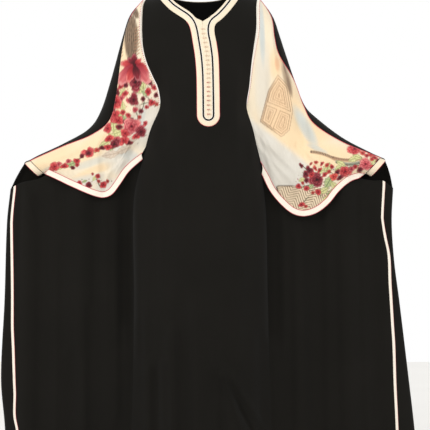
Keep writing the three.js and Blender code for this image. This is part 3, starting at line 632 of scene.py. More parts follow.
def front_body_y(half: HeldSide, x: np.ndarray, z: np.ndarray) -> np.ndarray:
    """How the front panel's body lies at a place of the front view, with x positive on both sides."""
    turned, widest = body_turn(half, x, z)
    line = shoulder(half, turned / widest)
    arch = (np.cos(turned) - np.cos(widest)) / (1 - np.cos(widest))
    rise = np.sqrt(np.maximum(0, 1 - (1 - np.clip((line - z) / SHOULDER_TURN, 0, 1)) ** 2))
    forward = mix(FRONT_BODY.at(z, "edge"), FRONT_BODY.at(z, "depth"), arch) * rise
    folds = fold_depth(half.sign * x, z, FRONT_FOLDS, FRONT_CREASES)
    return -SEAM - forward - folds * ease((line - z) / FRONT_SETTLE)


def front_wing(half: HeldSide, v: np.ndarray, h: np.ndarray) -> np.ndarray:
    """Points of the front panel's wing, at a share v of the way out to the side seam."""
    v, h = np.broadcast_arrays(np.asarray(v, float), np.asarray(h, float))
    place = mix(half.side.at(-h, "x"), half.outer.at(-h, "x"), v)
    top = half.wing.at(place, "z")
    z = mix(top, -LENGTH, (h - WING_TOP) / (LENGTH - WING_TOP))
    x = mix(half.side.at(z, "x"), half.outer.at(z, "x"), v)
    wing = mix(FRONT_BODY.at(z, "edge"), BACK_BODY.at(z, "wing"), ease(v / 0.3))
    folds = fold_depth(half.sign * x, z, FRONT_FOLDS, FRONT_CREASES)
    forward = wing * (1 - v**SEAM_CLOSE) + folds * ease((1 - v) / SEAM_CALM)
    return points(half.sign * x, -SEAM - forward, z)


def braid_share(half: HeldSide, h: np.ndarray) -> np.ndarray:
    """Share of the wing's width at which the middle of the braid lies."""
    place = half.outer.at(-h, "x")
    return 1 - half.braid.at(-h, "x") / (place - half.side.at(-h, "x"))


@dataclass
class Stations:
    """Columns over the shoulder and arm: the top of each, and the turn of the cloth over it."""

    x: np.ndarray
    z: np.ndarray
    y: np.ndarray
    lean: np.ndarray
    drop: np.ndarray
    depth: np.ndarray
    seam: np.ndarray
    hem: np.ndarray

    @classmethod
    def on_arm(cls, half: HeldSide, places: np.ndarray) -> "Stations":
        """Stations at places along the rows of the side's top line."""
        read = {name: half.top.at(places, name, "row") for name in half.top.names}
        read["seam"] = np.maximum(read["seam"], 0)
        return cls(**read)

    @classmethod
    def on_shoulder(cls, half: HeldSide, u: np.ndarray) -> "Stations":
        """Stations at shares of the way from the middle to the armhole."""
        first = dict(zip(half.top.names, half.top.rows[0]))
        return cls(
            x=np.abs(front_body(half, u, np.zeros_like(u))[..., 0]),
            z=shoulder(half, u),
            y=np.zeros_like(u),
            lean=first["lean"] * u**3,
            drop=mix(SHOULDER_TURN, first["drop"], ease(u)),
            depth=mix(BACK_BODY.column("depth")[0], first["depth"], u**3),
            seam=np.zeros_like(u),
            hem=first["hem"] * u,
        )

    @property
    def seam_angle(self) -> np.ndarray:
        """Angle of the turn at which the back panel meets the sleeve front."""
        return -np.arccos(np.clip(1 - self.seam / self.drop, -1, 1)) / RADIANS

    def turn(self, half: HeldSide, angle: np.ndarray, lift: float = 0.0) -> np.ndarray:
        """Points on the turn of the cloth.

        Args:
            half: the side of the garment.
            angle: 0 is the top, 90 the back and -90 the front.
            lift: distance outside the cloth.

        Returns:
            The points, in millimetres.
        """
        a, lean = np.asarray(angle) * RADIANS, self.lean * RADIANS
        inward = self.drop * (1 - np.cos(a))
        across = np.cos(a) / np.maximum(self.drop, 1)
        along = np.sin(a) / np.maximum(self.depth, 1)
        scale = lift / np.maximum(np.hypot(across, along), 1e-9)
        inward = inward - across * scale
        return points(
            half.sign * (self.x - inward * np.sin(lean)),
            self.y + self.depth * np.sin(a) + along * scale,
            self.z - inward * np.cos(lean),
        )

    def joined(self, other: "Stations") -> "Stations":
        """These stations and then the others."""
        return Stations(*(np.concatenate([vars(self)[k], vars(other)[k]]) for k in vars(self)))


class Surfaces:
    """Grids of points on the garment's cloths, rows downwards and columns outwards or across."""

    @staticmethod
    def opening_share(half: HeldSide, h: np.ndarray, inset: float) -> np.ndarray:
        """Share of the half width at which a line inside the neckline crosses a row.

        Args:
            half: the side of the garment.
            h: depths of the rows.
            inset: distance inside the neck band's outer edge.

        Returns:
            The shares.
        """
        line = Neckline.side(half, inset)
        order = np.argsort(line[:, 1])
        share = np.full_like(h, 0.5)
        for _ in range(6):
            z = -h + shoulder(half, share) * (1 - ease(h / SHOULDER_FADE))
            x = half.sign * np.interp(z, line[order, 1], line[order, 0])
            turned, widest = body_turn(half, x, z)
            share = turned / widest
        return share

    @classmethod
    def front(cls) -> np.ndarray:
        """The whole front panel; what lies above the wings or in the neck opening has no number."""
        turns = SHOULDER_TURN * (1 - np.cos(np.linspace(0, 90, 17) * RADIANS))
        rows = np.concatenate([turns[:-1], np.linspace(SHOULDER_TURN, WING_TOP, 45)])
        skirt = np.linspace(WING_TOP, LENGTH, 128)[1:]
        h = np.concatenate([rows, skirt])[:, None]
        sides = []
        for half in (RIGHT, LEFT):
            opening = cls.opening_share(half, h[:, 0], NECK_CUT)
            start = np.where(h[:, 0] < -NECK_POINT, np.maximum(opening, 0), 0)[:, None]
            u = mix(start, 1.0, np.linspace(0, 1, 31)[None, :] ** 0.9)
            body = front_body(half, u, h)
            v = np.linspace(0, 1, 58)[None, 1:]
            wing = front_wing(half, v, h)
            wing[: len(rows) - 1] = np.nan
            sides.append(np.concatenate([body, wing], axis=1))
        return cls.side_by_side(*sides)

    @staticmethod
    def side_by_side(right: np.ndarray, left: np.ndarray) -> np.ndarray:
        """Two halves' grids with nothing between them: the mesh welds them where they meet."""
        return np.concatenate([right[:, ::-1], np.full_like(left[:, :1], np.nan), left], axis=1)

    @staticmethod
    def back() -> np.ndarray:
        """The whole back panel, from one side seam over the back to the other."""
        falls = np.linspace(0, 1, 120)[1:]
        turns = np.linspace(0, 1, 20)
        sides = []
        for half in (RIGHT, LEFT):
            last = len(half.top.rows) - 1
            u = np.linspace(0, 1, 30)[:-1]
            arm = np.concatenate([np.linspace(0, 3, 14)[:-1], np.linspace(3, last, 62)])
            stations = Stations.on_shoulder(half, u).joined(Stations.on_arm(half, arm))
            start = stations.seam_angle
            angle = mix(start[None, :], 90.0, turns[:, None])
            top = stations.turn(half, angle)
            flat = stations.seam < 0.01
            top[:, flat, 1] = np.maximum(top[:, flat, 1], SEAM)
            x, y, z = np.abs(top[-1, :, 0]), top[-1, :, 1], top[-1, :, 2]
            share = x / half.outer.at(z, "x")
            zs = mix(z[None, :], -LENGTH, falls[:, None])
            across = mix(share[None, :], stations.hem[None, :], ease(falls[:, None] * 1.2))
            xs = half.outer.at(zs, "x") * across
            part = np.clip(xs / half.outer.at(zs, "x"), 0, 1)
            wing = BACK_BODY.at(zs, "wing") * (1 - part**SEAM_CLOSE)
            bell = (1 - np.clip(xs / BACK_HALF, 0, 1) ** 2) ** 1.4
            folds = fold_depth(half.sign * xs, zs, BACK_FOLDS, BACK_CREASES)
            hang = mix(wing, BACK_BODY.at(zs, "depth"), bell)
            hang = hang + folds * ease((1 - part) / SEAM_CALM)
            ys = mix(y[None, :], SEAM + hang, ease((z[None, :] - zs) / BACK_SETTLE))
            sides.append(np.concatenate([top, points(half.sign * xs, ys, zs)]))
        return np.concatenate([sides[0][:, :0:-1], sides[1]], axis=1)

    @staticmethod
    def hem_point(half: HeldSide, s: np.ndarray, above: np.ndarray) -> np.ndarray:
        """Points at a distance above a sleeve's lower edge."""
        last = len(half.hem.rows) - 1
        at = s * last
        dx = half.hem.at(at + 0.02, "x", "row") - half.hem.at(at - 0.02, "x", "row")
        dz = half.hem.at(at + 0.02, "z", "row") - half.hem.at(at - 0.02, "z", "row")
        long = np.hypot(dx, dz)
        x = half.hem.at(at, "x", "row") - above * dz / long
        z = half.hem.at(at, "z", "row") + above * dx / long
        return points(half.sign * x, half.hem.at(at, "y", "row"), z)

    @classmethod
    def sleeve(cls, half: HeldSide, columns: int, rows: int, band_rows: int) -> np.ndarray:
        """A sleeve front between its four edges, and the strip under its hem band.

        Args:
            half: the side of the garment.
            columns: number of columns from the body to the cuff.
            rows: number of rows from the top seam to the hem band.
            band_rows: number of rows below those, down to the free edge.

        Returns:
            The grid of points, in millimetres.
        """
        places = np.linspace(0, half.wrist_row, 500)
        arm = Stations.on_arm(half, places)
        gap = SLEEVE_GAP / ((arm.depth + arm.drop) / 2) / RADIANS
        top = arm.turn(half, arm.seam_angle - gap)
        h = np.concatenate([np.geomspace(0.45, 60, 60), np.linspace(62, WING_TOP, 180)])
        edge, inside = front_body(half, 1.0, h), front_body(half, 0.97, h)
        onward = edge - inside
        onward /= np.linalg.norm(onward, axis=1, keepdims=True)
        inner = edge + onward * 0.7
        inner[:, 1] -= 6 * ease((-edge[:, 2] - 320) / 90)
        corner = np.array([half.sign * half.corner[0], half.corner[1], half.corner[2]])
        inner = np.concatenate([inner, mix(inner[-1], corner, np.linspace(0, 1, 6)[1:, None])])
        top[0] = inner[0]
        top, inner = evenly(top, columns), evenly(inner, rows)
        t = ((inner[0, 2] - inner[:, 2]) / (inner[0, 2] - inner[-1, 2]))[:, None]
        s = np.linspace(0, 1, columns)[None, :]
        wrist = Stations.on_arm(half, np.array([float(half.wrist_row)]))
        start = wrist.seam_angle[0] - SLEEVE_GAP / WRIST_RADIUS / RADIANS
        cuff = wrist.turn(half, mix(start, CUFF_SEAM, t[:, 0]))
        bottom = cls.hem_point(half, s[0], np.full(columns, HEM_BAND))
        bottom[0], bottom[-1] = inner[-1], cuff[-1]
        bottom = settle_ends(bottom)
        t, s = t[..., None], s[..., None]
        grid = mix(top[None], bottom[None], t) + mix(inner[:, None], cuff[:, None], s)
        grid = grid - mix(mix(top[0], bottom[0], t), mix(top[-1], bottom[-1], t), s)
        strip = []
        for share in np.linspace(0, 1, band_rows + 1)[1:]:
            line = cls.hem_point(half, s[0, :, 0], np.full(columns, HEM_BAND * (1 - share)))
            line[0] = mix(bottom[0], line[0], share)
            line[-1] = wrist.turn(half, np.array([mix(CUFF_SEAM, CUFF_CORNER, share)]))[0]
            strip.append(settle_ends(line))
        t_all = np.concatenate([t[..., 0], np.ones((band_rows, 1))])
        grid = np.concatenate([grid, np.array(strip)])
        free = np.minimum(1, 14 * s[..., 0] * (1 - s[..., 0]) * t_all)
        tables = SLEEVE_FOLDS[half.name], SLEEVE_CREASES[half.name]
        grid[..., 1] -= fold_depth(grid[..., 0], grid[..., 2], *tables) * free
        return grid


def settle_ends(line: np.ndarray) -> np.ndarray:
    """Lets a row's two fixed ends draw their neighbours smoothly towards them."""
    line = line.copy()
    reach = max(3, len(line) // 22)
    for end, step in ((0, 1), (-1, -1)):
        shift = line[end] - (2 * line[end + step] - line[end + 2 * step])
        for k in range(1, reach):
            line[end + step * k] += shift * (1 - ease(k / reach))
    return line


def lengths(path: np.ndarray) -> np.ndarray:
    """How far along a path each of its points lies."""
    return np.concatenate([[0], np.cumsum(np.linalg.norm(np.diff(path, axis=0), axis=1))])


def read_along(path: np.ndarray, keys: np.ndarray, wanted: np.ndarray) -> np.ndarray:
    """The points of a path at wanted values of its keys."""
    return np.stack([np.interp(wanted, keys, path[:, k]) for k in range(path.shape[1])], 1)


def evenly(path: np.ndarray, count: int) -> np.ndarray:
    """Puts a number of points at even steps along a path."""
    along = lengths(path)
    return read_along(path, along, np.linspace(0, along[-1], count))


class Neckline:
    """The neck bands' lines on the front and the back."""

    @staticmethod
    def outline() -> np.ndarray:
        """The neck band's outer edge in the front view, from right to left round the placket's end."""
        z = np.arange(8.0, -PLACKET_END - 0.1, -1.0)
        edges = []
        for sign in (-1.0, 1.0):
            x = NECKLINE.at(z, "centre") + sign * NECKLINE.at(z, "half")
            edges.append(np.stack([x, z], 1))
        _, centre, half = NECKLINE.rows[-1]
        angle = np.linspace(180, 360, 61)[1:-1] * RADIANS
        end = np.stack([centre + half * np.cos(angle), -PLACKET_END + half * np.sin(angle)], 1)
        return np.concatenate([edges[0], end, edges[1][::-1]])

    @classmethod
    def inside(cls, inset: float) -> np.ndarray:
        """The outline moved inwards."""
        line = cls.outline()
        way = np.gradient(line, axis=0)
        way /= np.linalg.norm(way, axis=1, keepdims=True)
        return line + np.stack([-way[:, 1], way[:, 0]], 1) * inset

    @classmethod
    def side(cls, half: HeldSide, inset: float) -> np.ndarray:
        """One arm of the moved outline, above the place where the opening comes to its point."""
        line = cls.inside(inset)
        middle = len(line) // 2
        arm = line[:middle] if half.sign < 0 else line[middle:]
        arm = arm[arm[:, 1] > NECK_POINT + 8]
        end = np.array([[0.0, NECK_POINT]])
        return np.concatenate([arm, end] if half.sign < 0 else [end, arm])

    @staticmethod
    def cut_at_shoulders(line: np.ndarray, height: np.ndarray) -> np.ndarray:
        """Ends a line where it meets the shoulders, with close points for the cloth's turn there.

        Args:
            line: places in the front view.
            height: how far each of them lies below the shoulders.
        """
        inner = np.where(height > 0)[0]
        first, last = inner[0], inner[-1]
        count = np.arange(len(line))
        start = first - height[first] / (height[first] - height[first - 1])
        end = last + height[last] / (height[last] - height[last + 1])
        near = np.linspace(0.03, 1, 16) ** 2
        ends = mix(start, first, near), mix(end, last, near)[::-1]
        wanted = np.concatenate([ends[0], count[first + 1 : last], ends[1]])
        return read_along(line, count, wanted)

    @classmethod
    def lay_on_front(cls, line: np.ndarray) -> np.ndarray:
        """Brings a line of the front view onto the front panel, and ends it at the shoulders."""
        height = np.empty(len(line))
        for half in (RIGHT, LEFT):
            mine = line[:, 0] * half.sign >= 0
            turned, widest = body_turn(half, np.abs(line[mine, 0]), line[mine, 1])
            height[mine] = shoulder(half, turned / widest) - line[mine, 1]
        x, z = cls.cut_at_shoulders(line, height).T
        y = np.where(x >= 0, *(front_body_y(half, np.abs(x), z) for half in (LEFT, RIGHT)))
        return points(x, y, z)

    @classmethod
    def band(cls, profile: list[tuple[float, float]]) -> np.ndarray:
        """A band along the neckline on the front panel.

        Args:
            profile: inset and height above the panel of each line of the band.

        Returns:
            The band's grid, with its rows along the neckline.
        """
        lines = []
        for inset, _ in profile:
            laid = cls.lay_on_front(cls.inside(inset))
            middle = len(laid) // 2
            near = np.abs(laid[:, 2] - NECK_CORNER)
            first, last = np.argmin(near[:middle]), middle + np.argmin(near[middle:])
            parts = laid[: first + 1], laid[first : last + 1], laid[last:]
            start, down, end = (evenly(part, count) for part, count in zip(parts, (56, 190, 56)))
            lines.append(np.concatenate([start[:-1], down, end[1:]]))
        return raised(np.stack(lines, axis=1), Face.FRONT, [lift for _, lift in profile])

    @classmethod
    def line(cls, inset: float, lift: float) -> np.ndarray:
        """One line along the neckline, at an inset and at a height above the front panel."""
        return cls.band([(inset + step, lift) for step in (-0.5, 0, 0.5)])[:, 1]

    @staticmethod
    def on_back(x: np.ndarray, z: np.ndarray) -> np.ndarray:
        """Points of the back panel near the neck, from their places seen from the front."""
        y = np.empty(len(x))
        for half in (RIGHT, LEFT):
            mine = x * half.sign >= 0
            u_line = np.linspace(0, 1, 400)
            stations = Stations.on_shoulder(half, u_line)
            ax = np.abs(x[mine])
            shift = np.zeros_like(ax)
            for _ in range(4):
                u = np.interp(ax + shift, stations.x, u_line)
                here = Stations.on_shoulder(half, u)
                lean = here.lean * RADIANS
                down = np.clip((here.z - z[mine]) / np.cos(lean), 0, here.drop)
                shift = down * np.sin(lean)
            angle = np.arccos(1 - down / here.drop)
            y[mine] = np.maximum(here.depth * np.sin(angle), SEAM)
        return points(x, y, z)

    @classmethod
    def back_band(cls, profile: list[tuple[float, float]]) -> np.ndarray:
        """The band round the back of the neck, from shoulder to shoulder."""
        lines = []
        for inset, _ in profile:
            angle = np.linspace(178, 362, 240) * RADIANS
            x = BACK_NECK_CENTRE + (BACK_NECK_HALF - inset) * np.cos(angle)
            z = BACK_NECK_TOP + (BACK_NECK_DEPTH - inset) * np.sin(angle)
            height = np.empty(len(x))
            for half in (RIGHT, LEFT):
                mine = x * half.sign >= 0
                u_line = np.linspace(0, 1, 400)
                reach = Stations.on_shoulder(half, u_line).x
                height[mine] = shoulder(half, np.interp(np.abs(x[mine]), reach, u_line)) - z[mine]
            x, z = cls.cut_at_shoulders(np.stack([x, z], 1), height).T
            lines.append(evenly(cls.on_back(x, z), 110))
        return raised(np.stack(lines, axis=1), Face.BACK, [lift for _, lift in profile])


class Face(Enum):
    """The side of the garment that a cloth's outside looks to."""

    FRONT = -1.0
    BACK = 1.0


def outward(grid: np.ndarray, face: Face) -> np.ndarray:
    """Unit normals of a grid, on the side that it is seen from."""
    down, along = np.gradient(grid, axis=0), np.gradient(grid, axis=1)
    normal = np.cross(down, along)
    normal /= np.maximum(np.linalg.norm(normal, axis=2, keepdims=True), 1e-9)
    middle = np.nanmean(normal[..., 1])
    return normal * (1.0 if middle * face.value > 0 else -1.0)


def raised(grid: np.ndarray, face: Face, lifts: list[float]) -> np.ndarray:
    """A grid with each of its columns moved outwards by its own height."""
    return grid + outward(grid, face) * np.array(lifts)[None, :, None]


def linear(colour: np.ndarray) -> np.ndarray:
    """Turns sRGB values, from 0 to 1, to the linear ones that shaders take."""
    return np.where(colour <= 0.04045, colour / 12.92, ((colour + 0.055) / 1.055) ** 2.4)


def shade(colour: str) -> tuple[float, ...]:
    """Turns an sRGB hex colour to linear values, with its cover."""
    return (*linear(np.array([int(colour[i : i + 2], 16) / 255 for i in (1, 3, 5)])).tolist(), 1.0)


def in_scene(name: str, data: bpy.types.ID) -> bpy.types.Object:
    """Puts a new object into the scene."""
    made = bpy.data.objects.new(name, data)
    bpy.context.scene.collection.objects.link(made)
    return made


class ClothMaker:
    """Turns grids and paths of points into finished meshes."""

    @staticmethod
    def deselect() -> None:
        """Leaves nothing selected, so that an operator acts on the new piece alone."""
        for other in bpy.context.selected_objects:
            other.select_set(False)

    @staticmethod
    def mesh(
        name: str, places: np.ndarray, faces: list[tuple[int, ...]], uv: np.ndarray
    ) -> bpy.types.Object:
        """A smooth mesh object from points in millimetres, with its UV map in metres."""
        data = bpy.data.meshes.new(name)
        data.from_pydata((places / 1000).tolist(), [], faces)
        data.polygons.foreach_set("use_smooth", [True] * len(data.polygons))
        data.uv_layers.new(name="cut").data.foreach_set("uv", uv.ravel())
        return in_scene(name, data)

    @classmethod
    def cloth(
        cls, name: str, grid: np.ndarray, face: Face, thickness: float, ring: bool = False
    ) -> bpy.types.Object:
        """A thin shell of cloth on a grid of points.

        Args:
            name: the piece's name.
            grid: rows of points in millimetres; what isn't a number is left out.
            face: the side that the cloth's outside looks to.
            thickness: the cloth's thickness in millimetres, half on each side of the grid.
            ring: whether the last column runs on into the first.

        Returns:
            The piece, with a UV map in metres along its rows and columns.
        """
        rows, columns = grid.shape[:2]
        known = ~np.isnan(grid[..., 0])
        number = np.cumsum(known).reshape(rows, columns) - 1
        steps = np.nan_to_num(np.linalg.norm(np.diff(grid, axis=1), axis=2))
        along = np.concatenate([np.zeros((rows, 1)), np.cumsum(steps, axis=1)], axis=1)
        falls = np.nan_to_num(np.linalg.norm(np.diff(grid, axis=0), axis=2))
        down = np.concatenate([np.zeros((1, columns)), np.cumsum(falls, axis=0)], axis=0)
        middle = along[:, columns // 2][:, None]
        faces, corners = [], []
        wide = columns if ring else columns - 1
        for j in range(rows - 1):
            for i in range(wide):
                k = (i + 1) % columns
                quad = ((j, i), (j, k), (j + 1, k), (j + 1, i))
                if all(known[q] for q in quad):
                    faces.append(tuple(int(number[q]) for q in quad))
                    corners.extend((along[q] - middle[q[0], 0], -down[q]) for q in quad)
        piece = cls.mesh(name, grid[known], faces, np.array(corners) / 1000)
        welded = bmesh.new()
        welded.from_mesh(piece.data)
        bmesh.ops.remove_doubles(welded, verts=welded.verts, dist=1e-6)
        welded.to_mesh(piece.data)
        welded.free()
        normal = np.zeros(3)
        for polygon in piece.data.polygons:
            normal += np.array(polygon.normal) * polygon.area
        if ring:
            centre = grid.reshape(-1, 3).mean(axis=0) / 1000
            first = piece.data.polygons[0]
            turned = np.dot(np.array(first.normal), np.array(first.center) - centre) < 0
        else:
            turned = normal[1] * face.value < 0
        if turned:
            piece.data.flip_normals()
        cls.deselect()
        bpy.context.view_layer.objects.active = piece
        shell = piece.modifiers.new("cloth", "SOLIDIFY")
        shell.thickness = thickness / 1000
        shell.offset = 0
        bpy.ops.object.modifier_apply(modifier=shell.name)
        return piece

    @classmethod
    def tube(
        cls, name: str, paths: list[np.ndarray], radius: float, sides: int = 8, closed: bool = False
    ) -> bpy.types.Object:
        """Round cords along paths, all in one piece.

        Args:
            name: the piece's name.
            paths: the cords' middle lines, in millimetres.
            radius: half of the cords' thickness.
            sides: number of faces round a cord.
            closed: whether each cord's end meets its start.

        Returns:
            The piece, with a UV map round and along the cords.
        """
        places, faces, corners = [], [], []
        for path in paths:
            base = len(places)
            way = np.gradient(path, axis=0)
            if closed:
                way = np.roll(path, -1, axis=0) - np.roll(path, 1, axis=0)
            way /= np.maximum(np.linalg.norm(way, axis=1, keepdims=True), 1e-9)
            side = np.cross(way[0], [0.0, 1.0, 0.2])
            along = lengths(path) / 1000
            for place, forward in zip(path, way):
                side = side - forward * np.dot(side, forward)
                side /= max(np.linalg.norm(side), 1e-9)
                up = np.cross(forward, side)
                for k in range(sides):
                    angle = 2 * math.pi * k / sides
                    places.append(place + radius * (side * math.cos(angle) + up * math.sin(angle)))
            count = len(path)
            round_it = 2 * math.pi * radius / sides / 1000
            for j in range(count if closed else count - 1):
                n = (j + 1) % count
                for k in range(sides):
                    m = (k + 1) % sides
                    ring = (j * sides + k, j * sides + m, n * sides + m, n * sides + k)
                    faces.append(tuple(base + r for r in ring))
                    end = along[j + 1] if j + 1 < count else along[j]
                    corners += [(k * round_it, along[j]), ((k + 1) * round_it, along[j])]
                    corners += [((k + 1) * round_it, end), (k * round_it, end)]
            if not closed:
                faces.append(tuple(base + k for k in range(sides))[::-1])
                faces.append(tuple(base + (count - 1) * sides + k for k in range(sides)))
                corners += [(0.0, 0.0)] * (2 * sides)
        piece = cls.mesh(name, np.array(places), faces, np.array(corners))
        cls.recalculate(piece)
        return piece

    @classmethod
    def recalculate(cls, piece: bpy.types.Object) -> None:
        """Turns a closed piece's faces outwards."""
        cls.deselect()
        piece.select_set(True)
        bpy.context.view_layer.objects.active = piece
        bpy.ops.object.mode_set(mode="EDIT")
        bpy.ops.mesh.select_all(action="SELECT")
        bpy.ops.mesh.normals_make_consistent(inside=False)
        bpy.ops.object.mode_set(mode="OBJECT")
        piece.select_set(False)


def add_node(tree: bpy.types.NodeTree, kind: str, **values: object) -> bpy.types.Node:
    """Adds a node to a material.

    Args:
        tree: the material's nodes.
        kind: the node's Blender type, after ShaderNode.
        values: the node's own settings, in small letters, and what its inputs take, by their names with
            spaces as underscores or by n and their number: a value, or the output that feeds them.

    Returns:
        The node.
    """
    node = tree.nodes.new("ShaderNode" + kind)
    for name, value in values.items():
        numbered = name[1:].isdigit()
        if name.islower() and not numbered:
            setattr(node, name, value)
            continue
        key = int(name[1:]) if numbered else name.replace("_", " ")
        if isinstance(value, bpy.types.NodeSocket):
            tree.links.new(value, node.inputs[key])
        else:
            node.inputs[key].default_value = value
    return node


def mix_tones(
    tree: bpy.types.NodeTree, share: object, first: object, second: object, blend: str = "MIX"
) -> bpy.types.NodeSocket:
    """Mixes two colours in a material, each a value or an output, and gives the result's output."""
    node = add_node(tree, "Mix", data_type="RGBA", blend_type=blend, n0=share, n6=first, n7=second)
    return node.outputs[2]


@dataclass(frozen=True)
class Finish:
    """A cloth's or thread's look: two tones of its colour, its gloss and its weave."""

    name: str
    slot: str  # the record's material that it stands for
    colour: str
    tone: str
    roughness: float
    sheen: float
    specular: float
    thread: float  # spacing of the weave or twist, in millimetres
    relief: float  # height of the weave, in millimetres
    patch: float = 60.0  # size of the slow change of tone, in millimetres
    printed: bool = False

    def make(self) -> bpy.types.Material:
        """Builds the material: a woven finish on the piece's own UV map, which is in metres."""
        material = bpy.data.materials.new(self.name)
        material.use_nodes = True
        tree = material.node_tree
        tree.nodes.clear()
        places = add_node(tree, "TexCoord").outputs
        size = {"Scale": 1000 / self.patch, "Detail": 3.0, "Roughness": 0.6}
        patches = add_node(tree, "TexNoise", Vector=places["Object"], **size)
        base, second = shade(self.colour), shade(self.tone)
        # A printed cloth takes its colours from the piece's attribute: the print and the painted shade
        # together.
        if self.printed:
            base = add_node(tree, "Attribute", attribute_name="print").outputs["Color"]
            second = mix_tones(tree, 1.0, base, second, "MULTIPLY")
        tones = mix_tones(tree, patches.outputs["Fac"], base, second)
        weave = self.weave(tree, places["UV"])
        levels = {"From_Min": 0.0, "From_Max": 1.0, "To_Min": 0.86, "To_Max": 1.0}
        darker = add_node(tree, "MapRange", Value=weave, **levels)
        bump = add_node(tree, "Bump", Height=weave, Strength=0.7, Distance=self.relief / 1000)
        shader = add_node(
            tree,
            "BsdfPrincipled",
            Base_Color=mix_tones(tree, 1.0, tones, darker.outputs["Result"], "MULTIPLY"),
            Roughness=self.roughness,
            Normal=bump.outputs["Normal"],
            Sheen_Weight=self.sheen,
            Sheen_Roughness=0.5,
            Specular_IOR_Level=self.specular,
        )
        add_node(tree, "OutputMaterial", Surface=shader.outputs["BSDF"])
        return material

    def weave(self, tree: bpy.types.NodeTree, uv: bpy.types.NodeSocket) -> bpy.types.NodeSocket:
        """Threads that cross over and under, a little uneven.

        Args:
            tree: the material's nodes.
            uv: the piece's UV map, in metres.

        Returns:
            The height of the weave, from 0 to 1.
        """
        size = {"Scale": 1000 / self.thread / 20, "Distortion": 1.2, "Detail": 1.0, "Detail_Scale": 2.0}
        kind = {"wave_type": "BANDS", "wave_profile": "SIN"}
        waves = [
            add_node(tree, "TexWave", bands_direction=way, Vector=uv, **kind, **size).outputs["Fac"]
            for way in ("X", "Y")
        ]
        crossed = add_node(tree, "Math", operation="MULTIPLY", n0=waves[0], n1=waves[1]).outputs["Value"]
        slubs = add_node(tree, "TexNoise", Vector=uv, Scale=1000 / (self.thread * 3), Detail=2.0)
        height = {"n0": slubs.outputs["Fac"], "n1": 0.5, "n2": crossed}
        return add_node(tree, "Math", operation="MULTIPLY_ADD", **height).outputs["Value"]


# Crepe is woven of hard-twisted yarn: a matt, dense black with a pebbled face. Its yarns are 0.4 mm apart,
# and are drawn at 0.9 mm so that they show.
BLACK_CREPE = Finish(
    "black_crepe", "black_crepe", "#1A1815", "#13120F", 0.85, 0.04, 0.07, 0.9, 0.10, 180.0
)
# Chiffon is sheer and soft, and its print, with painted shade in its folds and below the arm, is the
# piece's own attribute.
PRINTED_CHIFFON = Finish(
    "printed_chiffon", "printed_chiffon", "#F4E6CC", "#F4F0EA", 0.7, 0.10, 0.25, 0.8, 0.06, 70.0, True
)
IVORY = "ivory_satin"
# Satin bands lie flat and catch the light along their length. Those of the sleeves are whiter.
IVORY_SATIN = Finish("ivory_satin", IVORY, "#F2E3C9", "#E8D5B8", 0.5, 0.10, 0.35, 0.7, 0.08, 30.0)
PALE_SATIN = Finish("pale_satin", IVORY, "#F7EEE0", "#F0E4D3", 0.5, 0.10, 0.35, 0.7, 0.08, 30.0)
WHITE_PIPING = Finish("white_piping", IVORY, "#FFFDF9", "#FAF5EC", 0.5, 0.10, 0.35, 0.9, 0.12, 20.0)
RED_PIPING = Finish("red_piping", IVORY, "#C23A48", "#D45A62", 0.55, 0.10, 0.30, 0.9, 0.15, 12.0)
BLACK_CORD = Finish(
    "twisted_black_cord", "black_cord", "#0B0A09", "#141210", 0.6, 0.02, 0.12, 1.1, 0.25, 15.0
)
KNOTS = "knotted_thread"
KNOTTED_THREAD = Finish("knotted_thread", KNOTS, "#EACBAE", "#F2DCC4", 0.6, 0.10, 0.30, 0.5, 0.15, 8.0)
# The lower knots are of a redder thread.
RED_THREAD = Finish("red_thread", KNOTS, "#C98074", "#DDA796", 0.6, 0.10, 0.30, 0.5, 0.15, 8.0)


class Motif(Enum):
    """What is printed at a place of the sleeve fronts, with its light and its dark tone."""

    ROSE = ((0.88, 0.34, 0.33), (0.60, 0.10, 0.15))
    DARK_ROSE = ((0.60, 0.17, 0.22), (0.30, 0.05, 0.09))
    PINK_ROSE = ((0.90, 0.48, 0.48), (0.66, 0.18, 0.24))
    BUD = ((0.92, 0.44, 0.36), (0.70, 0.17, 0.18))
    LEAF = ((0.72, 0.77, 0.55), (0.38, 0.44, 0.30))
    PALE_LEAF = ((0.86, 0.85, 0.62), (0.55, 0.56, 0.36))
    TAN_LEAF = ((0.86, 0.80, 0.73), (0.72, 0.63, 0.55))


